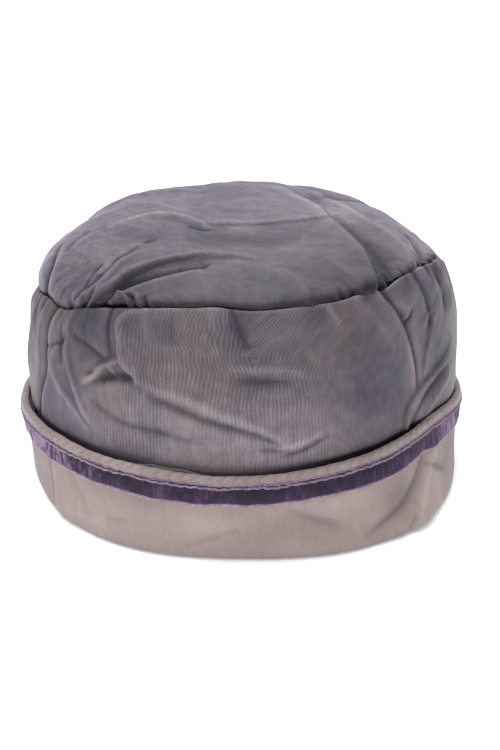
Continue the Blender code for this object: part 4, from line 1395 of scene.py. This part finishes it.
class BONNET_OT_ribbon(bpy.types.Operator):
    """The velvet ribbon: its pile and its woven edges"""

    bl_idname = "bonnet.ribbon"
    bl_label = "Velvet ribbon"

    def execute(self, context):
        cloth, colours = context.scene.bonnet_cloth, context.scene.bonnet_colours
        bearing = ring_bearings(RIBBON_COLUMNS)
        around = bearing * CLOTH_PER_DEGREE
        scallop = 0.20 * np.sin(around * TURN / STITCH_PITCH + 2.4 * np.sin(around / 17.0))
        top = cuff_top(bearing) + RIBBON_LAP + scallop + ring_swells(bearing, 0.0, RIBBON_TOP_SWELLS)
        low = cuff_top(bearing) - cloth.ribbon_height / MM - 0.5
        low = low + ring_swells(bearing, 60.0, RIBBON_LOW_SWELLS)
        lines = {"top": top, "low": low, "low_edge": low - cloth.edge_height / MM}
        # Pressed pile and painted sheen, most at the ribbon's two sides.
        crush_and_sheen = self.crush_and_sheen(bearing)
        selvedge = woven_edge("ribbon selvedge", colours)
        pile = velvet_pile("velvet", colours)
        self.strip("velvet_pile", bearing, PILE_ROWS, low, top - 0.2, 1.3, crush_and_sheen, pile, PILE_SWELLS)
        for row in SELVEDGES:
            fray = ring_swells(bearing, row.apart, row.fray)
            lowest = lines[row.lowest] + row.from_lowest + fray
            highest = lines[row.highest] + row.from_highest + row.frayed * fray
            self.strip(row.piece, bearing, SELVEDGE_ROWS, lowest, highest, row.proud, crush_and_sheen, selvedge)
        return {"FINISHED"}

    def crush_and_sheen(self, bearing):
        """How much pale pressed pile shows, part crush and part painted sheen: most at the two sides, a
        little at the back.
        """
        apart = np.where(bearing < 0.0, -bearing, bearing - 20.0)
        return ramp(apart, 28.0, 60.0) * (0.9 - 0.6 * ramp(apart, 96.0, 130.0)) + 0.08

    def strip(self, name, bearing, rows, low, high, proud, crush_and_sheen, material, swells=()):
        """A thin strip on the cuff's outer side, with its thickness inwards and its swells outwards."""
        height, share = band_heights(rows, low, high)
        round_edge = np.sqrt(np.clip(1.0 - np.abs(2.0 * share - 1.0) ** 4, 0.0, 1.0))
        lift = proud * (0.35 + 0.65 * round_edge)
        lift = lift + ring_swells(bearing, height * 0.35, swells) * round_edge * (0.3 + crush_and_sheen)
        reach = cuff_face(bearing, height) + lift
        weave = round_weave(bearing, height - low)
        crest = np.broadcast_to(crush_and_sheen, reach.shape)
        piece = cloth_grid(name, turned(bearing, reach, height), weave, crest=crest)
        finish_mesh(piece, RIBBON_WALL)
        dress(piece, "velvet_ribbon", material)


class BONNET_OT_stage(bpy.types.Operator):
    """The floor, the soft lights and the camera"""

    bl_idname = "bonnet.stage"
    bl_label = "Stage"

    def execute(self, context):
        stage = context.scene.bonnet_stage
        self.floor(stage)
        self.world(context.scene, stage)
        for row in LIGHTS:
            self.light(f"{row.light} light", row.place, row.size, getattr(stage, row.light))
        self.camera(context.scene, stage)
        context.scene.view_settings.view_transform = "Standard"
        return {"FINISHED"}

    def floor(self, stage):
        """A wide pale floor, a hair under the bonnet."""
        pick_none()
        bpy.ops.mesh.primitive_plane_add(size=12.0, location=(0.0, 0.0, -0.0002))
        plane = bpy.context.object
        plane.name = "floor"
        finish = Finish("pale floor")
        finish.set(Base_Color=stage.floor, Roughness=0.9, Specular_IOR_Level=0.0)
        finish.set(Emission_Color=(1.0, 1.0, 1.0), Emission_Strength=stage.lit_floor)
        plane.data.materials.append(finish.material)

    def world(self, scene, stage):
        """The even light of a pale room."""
        scene.world = bpy.data.worlds.new("even light")
        scene.world.use_nodes = True
        background = scene.world.node_tree.nodes["Background"]
        background.inputs["Color"].default_value = (0.97, 0.98, 1.0, 1.0)
        background.inputs["Strength"].default_value = stage.ambient

    def light(self, name, place, size, power):
        """A soft square light that points at the bonnet."""
        pick_none()
        bpy.ops.object.light_add(type="AREA", location=place)
        lamp = bpy.context.object
        lamp.name = name
        lamp.data.size = size
        lamp.data.energy = power
        lamp.rotation_euler = Vector(place).to_track_quat("Z", "Y").to_euler()

    def camera(self, scene, stage):
        """The camera at the front, a little above the bonnet."""
        pick_none()
        target = Vector((stage.target_x, 0.0, stage.target_z))
        back = Vector((0.0, -math.cos(stage.elevation), math.sin(stage.elevation)))
        bpy.ops.object.camera_add(location=target + back * stage.distance)
        camera = bpy.context.object
        camera.rotation_euler = back.to_track_quat("Z", "Y").to_euler()
        camera.data.lens = stage.lens
        camera.data.sensor_width = 36.0
        scene.camera = camera


class BONNET_PT_panel(bpy.types.Panel):
    """Lists the bonnet's pieces, sizes and colours"""

    bl_idname = "BONNET_PT_panel"
    bl_label = "Bonnet"
    bl_space_type = "VIEW_3D"
    bl_region_type = "UI"
    bl_category = "Bonnet"

    def draw(self, context):
        for operator in OPERATORS:
            self.layout.operator(operator.bl_idname)
        for group in (context.scene.bonnet_cloth, context.scene.bonnet_colours, context.scene.bonnet_stage):
            box = self.layout.box()
            for name in group.bl_rna.properties.keys():
                if name not in ("rna_type", "name"):
                    box.prop(group, name)


GROUPS = (BonnetColours, BonnetCloth, BonnetStage)
OPERATORS = (
    BONNET_OT_crown_side,
    BONNET_OT_crown_tip,
    BONNET_OT_cuff,
    BONNET_OT_facing,
    BONNET_OT_binding,
    BONNET_OT_ribbon,
    BONNET_OT_stage,
)


def register():
    for group in (*GROUPS, *OPERATORS, BONNET_PT_panel):
        bpy.utils.register_class(group)
    bpy.types.Scene.bonnet_colours = bpy.props.PointerProperty(type=BonnetColours)
    bpy.types.Scene.bonnet_cloth = bpy.props.PointerProperty(type=BonnetCloth)
    bpy.types.Scene.bonnet_stage = bpy.props.PointerProperty(type=BonnetStage)


def unregister():
    del bpy.types.Scene.bonnet_stage
    del bpy.types.Scene.bonnet_cloth
    del bpy.types.Scene.bonnet_colours
    for group in (BONNET_PT_panel, *reversed(OPERATORS), *reversed(GROUPS)):
        bpy.utils.unregister_class(group)


def main():
    register()
    bpy.ops.bonnet.crown_side()
    bpy.ops.bonnet.crown_tip()
    bpy.ops.bonnet.cuff()
    bpy.ops.bonnet.facing()
    bpy.ops.bonnet.binding()
    bpy.ops.bonnet.ribbon()
    bpy.ops.bonnet.stage()


if __name__ == "__main__":
    main()
